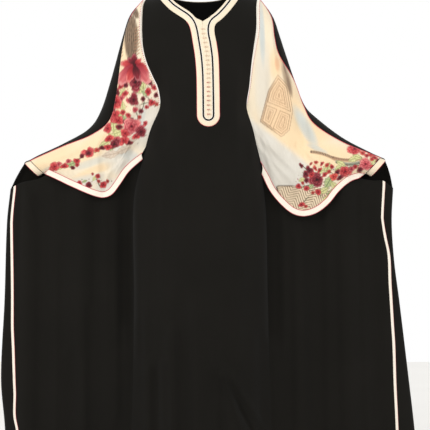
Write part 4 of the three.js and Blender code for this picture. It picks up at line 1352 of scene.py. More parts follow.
R, D, P, B, L, G, T = range(len(Motif))
SHIELD_BAND = 22 * RADIANS  # by which the level band of the printed shield falls outwards
SPRIGS = "x z size long turn kind"
PRINT_RIGHT = Table(
    SPRIGS,
    (-166, -262, 17, 1.8, 96, G),
    (-176, -284, 12, 1.5, 30, G),
    (-160, -292, 10, 1.6, 150, L),
    (-224, -290, 11, 1.7, 60, G),
    (-222, -330, 12, 1.9, 96, G),
    (-232, -352, 11, 1.6, 20, G),
    (-218, -362, 9, 1.6, 120, L),
    (-180, -330, 9, 1.7, 40, T),
    (-248, -384, 15, 1.5, 95, G),
    (-236, -402, 15, 1.6, 20, G),
    (-252, -412, 12, 1.6, 140, G),
    (-196, -420, 13, 2.2, 20, T),
    (-272, -432, 13, 2.0, 30, G),
    (-256, -444, 10, 1.8, 10, L),
    (-222, -450, 16, 2.6, 24, T),
    (-256, -462, 17, 2.2, 12, T),
    (-366, -488, 14, 2.2, 20, L),
    (-398, -498, 8, 1.7, 30, G),
    (-300, -452, 9, 1.7, 30, L),
    (-302, -528, 7, 2.0, 60, G),
    (-330, -536, 6, 2.0, 20, L),
    (-214, -270, 8, 1.4, 80, D),
    (-147, -262, 9, 1.3, 120, D),
    (-187, -262, 20, 1.7, 88, D),
    (-228, -274, 8, 1.2, 30, R),
    (-216, -294, 9, 1.2, 20, R),
    (-206, -312, 8, 1.3, 70, P),
    (-192, -310, 15, 1.7, 84, D),
    (-166, -308, 7, 1.0, 0, D),
    (-152, -288, 10, 1.2, 60, R),
    (-136, -276, 8, 1.2, 110, R),
    (-130, -296, 8, 1.3, 100, D),
    (-142, -318, 10, 1.1, 40, R),
    (-128, -322, 6, 1.3, 90, B),
    (-240, -292, 11, 1.5, 70, D),
    (-242, -318, 19, 2.0, 80, R),
    (-226, -306, 8, 1.4, 30, P),
    (-252, -340, 9, 1.5, 60, D),
    (-222, -346, 8, 1.3, 0, R),
    (-248, -366, 10, 1.4, 40, R),
    (-232, -386, 9, 1.5, 20, D),
    (-198, -366, 7, 1.3, 40, D),
    (-156, -330, 6, 1.2, 20, R),
    (-160, -376, 7, 1.3, 70, R),
    (-240, -420, 9, 1.6, 0, P),
    (-204, -430, 8, 1.8, 20, D),
    (-244, -352, 13, 1.4, 60, R),
    (-188, -338, 8, 1.2, 30, P),
    (-172, -342, 7, 1.1, 0, D),
    (-176, -358, 6, 1.0, 0, B),
    (-206, -354, 8, 1.1, 0, R),
    (-234, -368, 13, 1.6, 10, R),
    (-212, -372, 9, 1.3, 20, D),
    (-264, -390, 12, 1.7, 80, R),
    (-260, -418, 11, 1.5, 20, R),
    (-198, -384, 24, 1.1, 20, P),
    (-216, -404, 12, 1.5, 110, R),
    (-172, -398, 16, 1.2, 60, D),
    (-186, -412, 9, 1.6, 20, R),
    (-220, -424, 12, 2.4, 30, R),
    (-246, -434, 13, 2.4, 28, D),
    (-264, -442, 9, 2.0, 24, R),
    (-280, -444, 7, 1.5, 10, D),
    (-294, -450, 7, 1.3, 10, B),
    (-317, -457, 14, 2.2, 18, R),
    (-318, -458, 8, 1.6, 18, D),
    (-336, -466, 7, 1.5, 30, D),
    (-350, -479, 9, 1.6, 24, R),
    (-362, -498, 6, 1.7, 20, D),
    (-374, -480, 7, 1.6, 30, P),
    (-386, -494, 9, 1.6, 10, R),
    (-350, -490, 6, 1.5, 50, R),
    (-414, -495, 14, 1.6, 20, R),
    (-402, -488, 7, 1.6, 20, P),
    (-292, -522, 7, 1.4, 70, R),
    (-278, -546, 10, 1.1, 20, R),
    (-266, -536, 5, 1.0, 0, B),
    (-318, -546, 9, 1.2, 0, D),
    (-344, -540, 7, 1.3, 0, R),
    (-290, -536, 5, 1.0, 0, B),
    (-306, -516, 4, 1.0, 0, B),
)
PRINT_LEFT = Table(
    SPRIGS,
    (350, -538, 17, 1.5, 60, L),
    (337, -562, 13, 1.6, 30, G),
    (366, -548, 12, 1.7, 130, G),
    (358, -568, 11, 1.7, 20, L),
    (342, -586, 10, 1.8, 60, G),
    (300, -550, 9, 1.8, 50, L),
    (276, -532, 9, 1.8, 20, G),
    (420, -474, 13, 1.9, 20, G),
    (430, -468, 11, 1.7, 160, G),
    (438, -500, 11, 1.7, 60, G),
    (384, -488, 12, 1.9, 150, G),
    (376, -500, 10, 1.5, 30, G),
    (346, -500, 15, 1.3, 70, G),
    (328, -508, 10, 1.5, 20, G),
    (474, -482, 10, 1.6, 60, G),
    (482, -474, 10, 1.6, 150, G),
    (423, -445, 18, 1.35, 20, R),
    (446, -457, 7, 1.8, 150, B),
    (458, -464, 6, 1.7, 150, R),
    (470, -461, 8, 1.8, 150, B),
    (480, -470, 7, 1.6, 20, R),
    (489, -480, 7, 1.4, 60, D),
    (472, -474, 6, 1.5, 30, B),
    (453, -488, 18, 1.25, 20, P),
    (474, -498, 9, 1.6, 160, R),
    (438, -504, 8, 1.6, 10, D),
    (424, -496, 7, 1.4, 40, R),
    (396, -509, 16, 1.4, 8, R),
    (414, -502, 8, 1.3, 0, P),
    (374, -512, 8, 1.6, 80, D),
    (364, -524, 11, 1.7, 30, B),
    (382, -526, 8, 1.6, 10, D),
    (316, -532, 20, 1.1, 10, D),
    (296, -506, 10, 2.0, 140, D),
    (285, -516, 10, 1.8, 120, D),
    (272, -492, 6, 2.4, 150, D),
    (302, -518, 8, 1.6, 60, R),
    (312, -500, 6, 2.0, 110, B),
    (324, -506, 6, 2.0, 60, R),
    (300, -488, 4, 1.8, 30, B),
    (288, -534, 7, 1.6, 60, D),
    (266, -550, 8, 1.1, 0, R),
    (288, -556, 8, 1.1, 0, R),
    (278, -541, 5, 1.0, 0, B),
    (321, -566, 9, 1.1, 0, R),
    (306, -568, 5, 1.2, 0, B),
    (275, -601, 8, 1.2, 0, R),
    (287, -606, 5, 1.2, 0, B),
    (314, -484, 5, 2.0, 10, B),
    (330, -488, 5, 1.8, 60, R),
    (344, -492, 6, 2.0, 30, B),
    (358, -496, 6, 1.8, 120, R),
    (350, -510, 6, 1.8, 30, B),
    (338, -518, 7, 1.8, 20, R),
)
# Each petal of the one large flower: its length, width and direction.
PETALS = Table(
    "length width turn kind",
    (30, 18, 92, D),
    (38, 24, 176, R),
    (34, 22, -12, R),
    (46, 26, -28, R),
    (70, 38, 232, P),
    (66, 34, -52, P),
    (54, 26, 250, R),
    (48, 22, -76, D),
    (26, 14, 135, D),
    (24, 14, 40, R),
)


class PrintAndShade:
    """The print of a sleeve front, painted from petals, leaves and lines at real places, with painted shade
    in its folds and below the arm.
    """

    CREAM = np.array([0.945, 0.890, 0.790])
    PEACH = np.array([0.968, 0.855, 0.690])
    # Painted shade: the grey that the sleeve's cloth takes where it hangs below the arm.
    SHADE_GREY = np.array([0.868, 0.852, 0.815])
    # Painted shade: the grey-blue in the valleys of the sleeves' folds and under the forearm.
    SHADE_BLUE = np.array([0.790, 0.815, 0.808])
    BROWN = np.array([0.44, 0.35, 0.28])
    TAN = np.array([0.66, 0.50, 0.39])
    STEM = np.array([0.36, 0.36, 0.27])
    PETAL_RIM = np.array([0.98, 0.84, 0.80])
    FLOWER_HEART = np.array([0.22, 0.03, 0.06])
    SPECK_RED = np.array([0.55, 0.12, 0.17])
    SPECK_GREEN = np.array([0.50, 0.53, 0.36])
    SHIELD = np.array([0.955, 0.825, 0.665])
    STRAW = np.array([0.915, 0.835, 0.715])
    UMBER = np.array([0.47, 0.38, 0.30])
    SALMON = np.array([0.93, 0.72, 0.56])
    SOOT = np.array([0.34, 0.31, 0.27])
    PALE_MOSS = np.array([0.62, 0.62, 0.55])
    MOSS = np.array([0.36, 0.37, 0.32])

    def __init__(self, x: np.ndarray, z: np.ndarray) -> None:
        """Starts with plain cream cloth at places of the front view."""
        self.x, self.z = x, z
        self.colour = np.tile(self.CREAM, (len(x), 1))
        self.everywhere = np.arange(len(x))

    def patch(self, x: float, z: float, reach: float, turn: float = 0) -> tuple[np.ndarray, ...]:
        """The places round a middle.

        Args:
            x: the middle, across.
            z: the middle, upwards.
            reach: how far the places may be from it.
            turn: degrees by which the first axis is turned.

        Returns:
            The places' numbers, and how far each lies along and across the turned axis.
        """
        dx, dz = self.x - x, self.z - z
        pick = np.flatnonzero(dx * dx + dz * dz < reach * reach)
        c, s = math.cos(turn * RADIANS), math.sin(turn * RADIANS)
        return pick, dx[pick] * c + dz[pick] * s, dz[pick] * c - dx[pick] * s

    def paint(self, pick: np.ndarray, colour: np.ndarray, strength: np.ndarray) -> None:
        """Lays a colour over some places, as strong as given at each."""
        strength = np.clip(strength, 0, 1)[:, None]
        self.colour[pick] = self.colour[pick] * (1 - strength) + np.asarray(colour) * strength

    def wash(self, colour: np.ndarray, strength: float, *spots: tuple[float, ...]) -> None:
        """Soft ovals of colour, each with its middle, half sizes and turn."""
        total = np.zeros(len(self.x))
        for x, z, wide, high, turn in spots:
            pick, along, across = self.patch(x, z, 1.2 * max(wide, high), turn)
            away = np.hypot(along / wide, across / high)
            total[pick] = np.maximum(total[pick], 1 - ease(away**2 * 0.9))
        self.paint(self.everywhere, colour, total * strength)

    def petal(
        self, x: float, z: float, length: float, width: float, turn: float, tones: np.ndarray
    ) -> None:
        """A petal from its base outwards: veined, dark at the base, with a shaded edge and a pale rim.

        Args:
            x: its base, across.
            z: its base, upwards.
            length: from the base to the rim.
            width: at its widest.
            turn: the direction that it points in, in degrees.
            tones: its light and its dark tone.
        """
        a = turn * RADIANS
        middle = x + length / 2 * math.cos(a), z + length / 2 * math.sin(a)
        pick, along, across = self.patch(*middle, 0.7 * length + 0.6 * width, turn)
        along = along / (length / 2)
        across = across / (width / 2) / (0.6 + 0.4 * ease((along + 1) / 1.2))
        round_it = np.arctan2(across, along)
        waves = 0.06 * np.sin(3 * round_it + x) + 0.05 * np.sin(8 * round_it + z)
        away = np.hypot(along, across) * (1 + waves)
        light, dark = tones
        edge = 2.6 / length
        self.paint(pick, dark * 0.75, ease((1 + edge - away) / edge) * 0.4)
        veins = 0.5 + 0.5 * np.cos(across * 8 + turn)
        tone = ease((along + 0.8) / 1.4) * (0.7 + 0.3 * veins)
        inside = ease((1 - away) / (1.3 * edge))
        self.paint(pick, mix(dark, light, tone[:, None]), inside)
        pale = mix(light, self.PETAL_RIM, 0.6)
        self.paint(pick, pale, inside * ease((away - 0.62) / 0.2) * ease(along / 0.6) * 0.6)

    def rose(self, x: float, z: float, size: float, long: float, turn: float, kind: int) -> None:
        """A rose or a bud: rings of uneven petals, darker inwards, round a dark heart."""
        tones = np.array(list(Motif)[kind].value)
        rings = ((1.0, 6), (0.7, 5), (0.42, 3)) if size > 11 else ((1.0, 5), (0.55, 3))
        for reach, count in rings:
            for k in range(count):
                way = 360 * k / count + 22 * math.sin(7 * k + x) + 60 * reach
                a = way * RADIANS
                stretch = math.hypot(math.cos(a) * long**0.5, math.sin(a) / long**0.5)
                length = size * reach * stretch * (1 + 0.14 * math.sin(3 * k + z))
                mood = 0.3 * math.sin(5 * k + x + z) - 0.5 * (1 - reach)
                mine = tones + (tones[0] - tones[1]) * np.array([[mood * 0.5], [mood * 0.3]])
                self.petal(x, z, length, size * reach * 1.1, turn + way, np.clip(mine, 0, 1))
        self.dot(x, z, max(1.6, size * 0.15), tones[1] * 0.5)

    def dot(self, x: float, z: float, radius: float, colour: np.ndarray) -> None:
        """A small soft spot."""
        pick, along, across = self.patch(x, z, radius * 2)
        self.paint(pick, colour, ease((1.4 * radius - np.hypot(along, across)) / radius) * 0.9)

    def leaf(self, x: float, z: float, size: float, long: float, turn: float, kind: int) -> None:
        """A pointed leaf with a rib, side ribs and a shaded edge."""
        light, dark = (np.array(tone) for tone in list(Motif)[kind].value)
        pick, along, across = self.patch(x, z, size * 2, turn)
        along, across = along / (size * long**0.5), across / (size / long**0.5)
        wide = np.maximum(0, 1 - np.abs(along) ** 1.6) * (0.9 + 0.1 * np.cos(along * 14 + x))
        inside = (np.abs(along) < 1) * 1.0
        self.paint(pick, dark, ease((wide + 0.16 - np.abs(across)) / 0.2) * inside * 0.6)
        self.paint(pick, light, ease((wide - np.abs(across)) / 0.25) * inside)
        rib = ease((0.16 - np.abs(across)) / 0.14) * ease((wide - np.abs(across)) / 0.3)
        side = ease((np.cos(along * 15 + np.abs(across) * 6) - 0.5) / 0.4)
        side = side * ease((wide - np.abs(across)) / 0.3)
        self.paint(pick, dark, np.maximum(rib * 0.8, side * 0.4) * inside)

    def curve(
        self, points_on: tuple[float, ...], colour: np.ndarray, width: float, hatch: float = 0
    ) -> None:
        """A thin bent line through three points, or a row of short hatches along it.

        Args:
            points_on: x and z of the start, the bend and the end.
            colour: the line's colour.
            width: its half width.
            hatch: number of hatches along it; none for a plain line.
        """
        x1, z1, x2, z2, x3, z3 = points_on
        best, place = np.full(len(self.x), 1e9), np.zeros(len(self.x))
        for t in np.linspace(0, 1, 40):
            px = (1 - t) ** 2 * x1 + 2 * t * (1 - t) * x2 + t * t * x3
            pz = (1 - t) ** 2 * z1 + 2 * t * (1 - t) * z2 + t * t * z3
            away = np.hypot(self.x - px, self.z - pz)
            place = np.where(away < best, t, place)
            best = np.minimum(best, away)
        strength = ease((width - best) / width * 1.6)
        if hatch:
            strength = strength * (0.45 + 0.55 * np.cos(place * hatch * 2 * math.pi))
        self.paint(self.everywhere, colour, strength)

    def sprigs(self, table: Table) -> None:
        """All leaves and flowers of a table, in its order."""
        for x, z, size, long, turn, kind in table.rows:
            draw = self.leaf if kind >= L else self.rose
            draw(x, z, size, long, turn, int(kind))

    def specks(self, x: float, z: float, wide: float, high: float, count: int) -> None:
        """Small brown, red and green specks, spread over an oval."""
        for k in range(count):
            a, away = 2.4 * k + x, math.sqrt((k + 0.5) / count)
            colour = (self.BROWN, self.SPECK_RED, self.SPECK_GREEN)[k % 3]
            across, up = wide * away * math.cos(a), high * away * math.sin(a)
            self.dot(x + across, z + up, 1.2 + 0.6 * math.sin(3 * k), colour)

    def inside(self, *corners: tuple[float, float]) -> np.ndarray:
        """How deep each place lies inside a convex outline that runs clockwise."""
        depth = np.full(len(self.x), 1e9)
        for (x1, z1), (x2, z2) in zip(corners, corners[1:] + corners[:1]):
            long = math.hypot(x2 - x1, z2 - z1)
            away = ((self.x - x1) * (z2 - z1) - (self.z - z1) * (x2 - x1)) / long
            depth = np.minimum(depth, away)
        return depth

    def arabesque(self) -> None:
        """A shield of three fields between double bands, with lines that follow each field's edge."""
        shield = self.inside(
            (208, -242), (238, -272), (250, -340), (240, -394), (218, -413), (159, -371), (182, -284)
        )
        field = shield - 6
        level = (self.z + 332) * math.cos(SHIELD_BAND) + (self.x - 205) * math.sin(SHIELD_BAND)
        upright = (self.x - 203) * math.cos(SHIELD_BAND) - (self.z + 356) * math.sin(SHIELD_BAND)
        field = np.minimum(field, np.abs(level) - 5)
        field = np.where(level < 0, np.minimum(field, np.abs(upright) - 5), field)
        ground = ease(shield / 3) * (1 - 0.4 * ease((self.x - 226) / 20))
        self.paint(self.everywhere, self.SHIELD, ground * 0.8)
        dashes = 0.7 + 0.3 * np.sin(self.x * 1.3) * np.sin(self.z * 1.1)
        for ring, strength in ((-6, 0.9), (0, 1.0), (6, 0.6), (12, 0.8), (18, 0.5), (24, 0.7)):
            line = ease((1.6 - np.abs(field - ring)) / 1.2) * strength * dashes
            self.paint(self.everywhere, self.TAN * 0.92, line * (shield > -1))
        stipple = ease((np.sin(self.x * 1.25) * np.sin(self.z * 1.25) - 0.2) / 0.4) * (field > 7)
        self.paint(self.everywhere, self.TAN, stipple * 0.45)
        rim = (shield > -1) * (shield < 6) * ease((205 - self.x) / 16)
        teeth = 0.5 + 0.5 * np.cos((self.x + self.z) * 2 * math.pi / 5.5)
        self.paint(self.everywhere, self.BROWN, rim * teeth * 0.6)

    def chevrons(self) -> None:
        """Nested angular lines of a woven kind behind the flowers by the hem."""
        zone = self.inside(
            (204, -552), (240, -528), (306, -548), (362, -548), (362, -660), (240, -660)
        )
        along = (self.x - 204) * 0.87 - (self.z + 552) * 0.5
        up = (self.z + 552) * 0.87 + (self.x - 204) * 0.5
        fold = np.abs(np.mod(along + 6, 46) - 23)
        steps = (up + fold * 0.9) / 8.2
        lines = ease((np.cos(steps * 2 * math.pi) - 0.1) / 0.6)
        self.paint(self.everywhere, self.STRAW, ease(zone / 3) * 0.9)
        self.paint(self.everywhere, self.UMBER, lines * ease(zone / 2) * 0.75)
        rim = ease((2.6 - np.abs(zone - 1)) / 2) * ease((262 - self.x) / 20)
        self.paint(self.everywhere, self.BROWN * 0.7, rim * 0.85)

    def streaks(self, x: float, z: float, wide: float, high: float, turn: float) -> None:
        """A soft dark oval with fine upright streaks."""
        pick, along, across = self.patch(x, z, 1.1 * max(wide, high), turn)
        away = np.hypot(along / wide, across / high)
        self.paint(pick, mix(self.BROWN, self.PEACH, 0.15), ease((1 - away) / 0.35) * 0.9)
        lines = ease((np.sin(along * 1.15 + 0.8 * np.sin(across * 0.07)) - 0.1) / 0.5)
        self.paint(pick, self.BROWN * 0.6, lines * ease((1 - away) / 0.25) * 0.8)

    @classmethod
    def right(cls, x: np.ndarray, z: np.ndarray) -> np.ndarray:
        """The wearer's right sleeve front."""
        cloth = cls(x, z)
        peach = (-300, -440, 150, 40, 26), (-420, -475, 120, 34, 26), (-236, -330, 40, 130, -12)
        cloth.wash(cls.PEACH, 0.8, *peach, (-226, -180, 26, 80, 0), (-300, -506, 80, 14, 20))
        # Painted shade: greyer cloth where the sleeve hangs below the arm and under the forearm.
        shade_spots = (-150, -380, 58, 90, -20), (-210, -490, 90, 50, -30), (-250, -560, 70, 40, 0)
        cloth.wash(cls.SHADE_GREY, 0.85, *shade_spots, (-340, -540, 90, 22, 16))
        # Painted shade: grey-blue in the fold valleys below the elbow, under the forearm and by the cuff.
        cloth.wash(cls.SHADE_BLUE, 0.5, (-206, -462, 70, 20, -34), (-316, -486, 60, 13, 18))
        cloth.wash(cls.SHADE_BLUE, 0.5, (-430, -505, 30, 12, 20), (-170, -366, 10, 50, -12))
        cloth.streaks(-200, -136, 22, 84, 2)
        cloth.streaks(-192, -58, 10, 30, 24)
        for k in range(9):
            z1 = -112 - 9.5 * k
            cloth.curve((-190, z1, -182, z1 + 3, -176, z1 + 9), cls.TAN, 1.6)
            cloth.curve((-232, z1 - 6, -226, z1 - 3, -222, z1 + 3), cls.TAN, 1.2)
        cloth.specks(-170, -300, 44, 40, 54)
        cloth.specks(-216, -330, 20, 60, 24)
        cloth.specks(-190, -404, 50, 30, 26)
        cloth.specks(-300, -534, 46, 14, 16)
        for stem in (
            (-184, -330, -170, -320, -150, -318),
            (-186, -344, -176, -362, -184, -372),
            (-160, -300, -140, -312, -132, -330),
            (-296, -530, -290, -545, -286, -552),
            (-262, -436, -286, -446, -312, -456),
            (-336, -470, -356, -480, -372, -486),
            (-164, -300, -160, -330, -176, -348),
        ):
            cloth.curve(stem, cls.STEM, 1.7)
        cloth.sprigs(PRINT_RIGHT)
        for length, width, turn, kind in PETALS.rows:
            tones = np.array(list(Motif)[int(kind)].value) * 0.92
            cloth.petal(-190, -212, length, width, turn, tones)
        cloth.dot(-190, -213, 5, cls.FLOWER_HEART)
        return cloth.colour

    @classmethod
    def left(cls, x: np.ndarray, z: np.ndarray) -> np.ndarray:
        """The wearer's left sleeve front."""
        cloth = cls(x, z)
        peach = (262, -420, 150, 60, -34), (360, -470, 130, 50, -14), (240, -330, 60, 110, 16)
        cloth.wash(cls.PEACH, 0.85, *peach, (205, -210, 26, 60, 0), (300, -395, 80, 50, -30))
        # Painted shade: the cloth below the diagonal fold from the armpit towards the forearm is greyer.
        below = -z - 364 - 0.78 * (x - 150) - 26 * ease((x - 270) / 120)
        cloth.paint(cloth.everywhere, cls.SHADE_GREY, ease(below / 26) * ease((360 - x) / 90) * 0.95)
        # Painted shade: more grey where the cloth hangs low and beside the armhole.
        cloth.wash(cls.SHADE_GREY * 0.96, 0.6, (190, -500, 60, 90, 40), (240, -545, 80, 60, 30))
        cloth.wash(cls.SHADE_GREY, 0.6, (166, -260, 26, 150, 0), (180, -430, 40, 30, -40))
        # Painted shade: grey-blue in the fold beside the armhole, in the valley between upper arm and
        # forearm, and in the drape fold under the forearm.
        cloth.wash(cls.SHADE_BLUE, 0.95, (164, -120, 10, 110, 2), (286, -386, 20, 80, 28))
        cloth.wash(cls.SHADE_BLUE, 0.6, (318, -446, 40, 9, -24), (390, -500, 50, 8, 6))
        cloth.wash(cls.SALMON, 0.7, (206, -210, 9, 26, 4), (222, -196, 12, 12, 0))
        cloth.arabesque()
        cloth.wash(mix(cls.BROWN, cls.PEACH, 0.35), 0.75, (234, -250, 13, 58, 14))
        cloth.wash(cls.BROWN, 0.5, (240, -268, 6, 40, 14), (228, -222, 4, 26, 14))
        cloth.chevrons()
        cloth.curve((302, -455, 332, -457, 366, -475), mix(cls.TAN, cls.PEACH, 0.4), 6.0)
        cloth.curve((302, -454, 332, -456, 366, -474), cls.SOOT, 4.5, 13)
        cloth.curve((362, -472, 402, -484, 440, -472), mix(cls.TAN, cls.PEACH, 0.3), 6.5)
        cloth.curve((362, -470, 402, -482, 440, -470), cls.BROWN, 4.5, 17)
        cloth.curve((372, -482, 404, -494, 434, -484), cls.PALE_MOSS, 6.5)
        cloth.curve((372, -484, 404, -496, 434, -486), cls.MOSS, 4.0, 14)
        cloth.specks(330, -556, 42, 26, 60)
        cloth.specks(286, -532, 30, 22, 24)
        cloth.specks(404, -500, 60, 14, 36)
        cloth.specks(462, -480, 26, 18, 16)
        for stem in (
            (276, -492, 290, -506, 306, -520),
            (270, -556, 284, -548, 300, -546),
            (290, -560, 300, -552, 312, -548),
            (276, -606, 282, -590, 294, -580),
            (300, -500, 306, -508, 312, -520),
            (342, -500, 350, -510, 360, -514),
            (400, -500, 420, -494, 444, -490),
        ):
            cloth.curve(stem, cls.STEM, 1.7)
        cloth.sprigs(PRINT_LEFT)
        return cloth.colour


@dataclass(frozen=True)
class Cut:
    """The flat cut of a cloth, in metres: its box, its area, how it is held and what is sewn on it."""

    piece: str
    width: float
    length: float
    area: float
    held: str
    rests_on: str
    sewn_on: str = ""  # the names, parted by spaces


@dataclass
class Abaya:
    """The garment: each method makes and dresses one group of its pieces."""

    piping: float = 1.0  # radius of the red piping over the arms
    sleeve_columns: int = 226
    sleeve_rows: int = 194
    band_rows: int = 8

    def __post_init__(self) -> None:
        """Begins with no finish and no piece made."""
        self.materials: dict[str, bpy.types.Material] = {}
        self.made: dict[str, bpy.types.Object] = {}

    def dress(self, piece: bpy.types.Object, finish: Finish, *nodes: str, slot: str = "") -> None:
        """Gives a piece its finish and joins it to the frame.

        Args:
            piece: the finished mesh.
            finish: its look.
            nodes: the CAD nodes that it stands for.
            slot: the record's material, where it isn't the finish's own; not used.
        """
        if finish.name not in self.materials:
            self.materials[finish.name] = finish.make()
        piece.data.materials.append(self.materials[finish.name])
        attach(piece, "root")
        if nodes:
            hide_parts(*nodes)
        self.made[piece.name] = piece
        LOG.info("%s: %d faces", piece.name, len(piece.data.polygons))

    def sew(
        self,
        name: str,
        grid: np.ndarray,
        thickness: float,
        finish: Finish,
        *nodes: str,
        face: Face = Face.FRONT,
        ring: bool = False,
    ) -> None:
        """Makes a cloth from its grid, and dresses it for its CAD nodes."""
        self.dress(ClothMaker.cloth(name, grid, face, thickness, ring), finish, *nodes)

    def pipe(
        self,
        name: str,
        paths: list[np.ndarray],
        radius: float,
        finish: Finish,
        *nodes: str,
        sides: int = 6,
        closed: bool = False,
        slot: str = "",
    ) -> None:
        """Makes round cords along their paths, and dresses them for their CAD nodes."""
        self.dress(ClothMaker.tube(name, paths, radius, sides, closed), finish, *nodes, slot=slot)

    def panels(self) -> None:
        """The black front and back, which carry everything else."""
        self.sew("front", Surfaces.front(), CREPE, BLACK_CREPE, "front_panel")
        back = self.cut_back(Surfaces.back())
        self.sew("back", back, CREPE, BLACK_CREPE, *BACK_SOLIDS, face=Face.BACK)

    @staticmethod
    def cut_back(grid: np.ndarray) -> np.ndarray:
        """The back panel with its neck cut out: the upper rows begin at the neck's edge."""
        grid = grid.copy()
        half_wide, deep = BACK_NECK_HALF - NECK_CUT, BACK_NECK_DEPTH - NECK_CUT
        share = 1 - ((grid[0, :, 0] - BACK_NECK_CENTRE) / half_wide) ** 2
        for i in np.where(share > 0)[0]:
            edge = BACK_NECK_TOP - deep * math.sqrt(share[i])
            column = grid[:, i]
            if column[0, 2] <= edge:
                continue
            below = int(np.argmax(column[:, 2] < edge))
            a, b = column[below - 1], column[below]
            start = a + (b - a) * (a[2] - edge) / (a[2] - b[2])
            reach = below + 12
            tail = np.concatenate([[start], column[below : reach + 1]])
            grid[: reach + 1, i] = evenly(tail, reach + 1)
        return grid

    def neck(self) -> None:
        """The neck bands, the cord between them and the placket strip."""
        outer = [(0.0, 0.4), (0.4, 1.4), (1.6, 1.9), (7.5, 2.2), (13.4, 1.9), (14.6, 1.4), (15, 0.5)]
        self.sew("neck_band", Neckline.band(outer), SATIN, IVORY_SATIN, "neck_band_front")
        edge = Neckline.line(-0.2, 1.0)
        tops = np.where(np.arange(len(edge)) < len(edge) / 2, *RED_NECK_TOPS)
        self.pipe("red_neck_piping", [edge[edge[:, 2] < tops]], 0.9, RED_PIPING, sides=8)
        self.pipe("white_neck_piping", [Neckline.line(13.8, 2.0)], 0.7, WHITE_PIPING, sides=8)
        self.pipe("white_placket_piping", [Neckline.line(19.5, 2.0)], 0.7, WHITE_PIPING, sides=8)
        cord = [Neckline.line(NECK_BAND + NECK_CORD / 2, 2.7)]
        # The cord's radius takes in a dark strip on each side that stands in for its shadow on the bands.
        self.pipe("neck_cord_twisted", cord, NECK_CORD / 2 + CORD_SHADOW_SPREAD, BLACK_CORD, "neck_cord", sides=8)
        placket = self.placket(NECK_BAND + NECK_CORD)
        self.sew("placket_strip", placket, SATIN, IVORY_SATIN, "placket")
        profile = [(0.0, 0.5), (0.5, 1.5), (3, 2.1), (12, 2.2), (22, 2.1), (24.5, 1.5), (25, 0.5)]
        back = Neckline.back_band(profile)
        self.sew("neck_band_behind", back, SATIN, IVORY_SATIN, "neck_band_back", face=Face.BACK)

    @staticmethod
    def placket(inset: float) -> np.ndarray:
        """The inner neck band and the placket strip: two sides that meet down the middle."""
        turns = SHOULDER_TURN * (1 - np.cos(np.linspace(3, 80, 40) * RADIANS))
        end = NECKLINE.rows[-1][2] - inset
        low = PLACKET_END + end * np.sin(np.linspace(0, 90, 12) * RADIANS)
        h = np.concatenate([[0.002, 0.02, 0.1], turns, np.linspace(92, PLACKET_END - 2, 110)[1:], low])
        centre = NECKLINE.at(-h, "centre")
        reach = NECKLINE.at(-h, "half") - inset
        reach = np.sqrt(np.maximum(reach**2 - np.clip(h - PLACKET_END, 0, None) ** 2, 0.01))
        arm = h < -NECK_POINT
        t = np.linspace(0, 1, 9)[None, :]
        rims = (np.minimum(1, np.sqrt(edge * 14)) for edge in (np.minimum(t, 1 - t), 1 - t))
        lift = 0.6 + 1.2 * np.where(arm[:, None], *rims)
        wall = []
        for half in (RIGHT, LEFT):
            cord = half.sign * centre + reach
            share = Surfaces.opening_share(half, h, NECK_BAND + NECK_INNER_BAND)
            opening = front_body(half, share, h)
            far = front_body(half, Surfaces.opening_share(half, h, inset), h)[:, 0] * half.sign
            far = np.where(h < 96, mix(far, cord, ease((h - 80) / 16)), cord)
            middle = half.sign * centre * ease((h + NECK_POINT) / 26)
            near = np.where(arm, opening[:, 0] * half.sign, middle)
            x = mix(near[:, None], far[:, None], t)
            z = np.broadcast_to(np.where(arm, opening[:, 2], -h)[:, None], x.shape)
            grid = points(half.sign * x, front_body_y(half, np.abs(x), z), z)
            wall.append(grid + outward(grid, Face.FRONT) * lift[..., None])
        return Surfaces.side_by_side(*wall)

    def buttons(self) -> None:
        """Knots down the placket, two close together at each step, each pair in its loop."""
        knots, loops = [], []
        angle = np.linspace(0.35, 2 * math.pi - 0.35, 18)
        turn = np.linspace(0, 2 * math.pi, 34)[:-1]
        radius = 1.05 + 0.32 * np.cos(3 * turn)
        knot = points(radius * np.cos(2 * turn), 0.765 * np.sin(3 * turn) - 3.4, radius * np.sin(2 * turn))
        for z in np.linspace(NECK_POINT - 22, NECKLINE.rows[-1][0] + 2, BUTTONS):
            x = float(NECKLINE.at(np.array([z]), "centre")[0])
            half = LEFT if x >= 0 else RIGHT
            y = float(front_body_y(half, np.array([abs(x)]), np.array([z]))[0])
            loops.append(points(x + 3.2 - 4.4 * np.cos(angle), y - 3.0, z + 2.2 * np.sin(angle)))
            knots += [knot + [x + side, y, z] for side in (-2.0, 2.0)]
        nodes = [f"button_{i + 1}" for i in range(BUTTONS)]
        pale, red = knots[: 2 * PALE_BUTTONS], knots[2 * PALE_BUTTONS :]
        self.pipe("knotted_buttons", pale, 0.62, KNOTTED_THREAD, *nodes[:PALE_BUTTONS], closed=True)
        self.pipe("red_knotted_buttons", red, 0.62, RED_THREAD, *nodes[PALE_BUTTONS:], closed=True)
        self.pipe("button_loops", loops, 0.5, IVORY_SATIN, slot=KNOTS)

    def sleeve(self, half: HeldSide) -> None:
        """A printed sleeve front with its hem band, armhole trim and red edges."""
        grid = Surfaces.sleeve(half, self.sleeve_columns, self.sleeve_rows, self.band_rows)
        cloth = ClothMaker.cloth(f"sleeve_{half.name}", grid, Face.FRONT, CHIFFON)
        place = np.empty(len(cloth.data.vertices) * 3)
        cloth.data.vertices.foreach_get("co", place)
        x, _, z = place.reshape(-1, 3).T * 1000
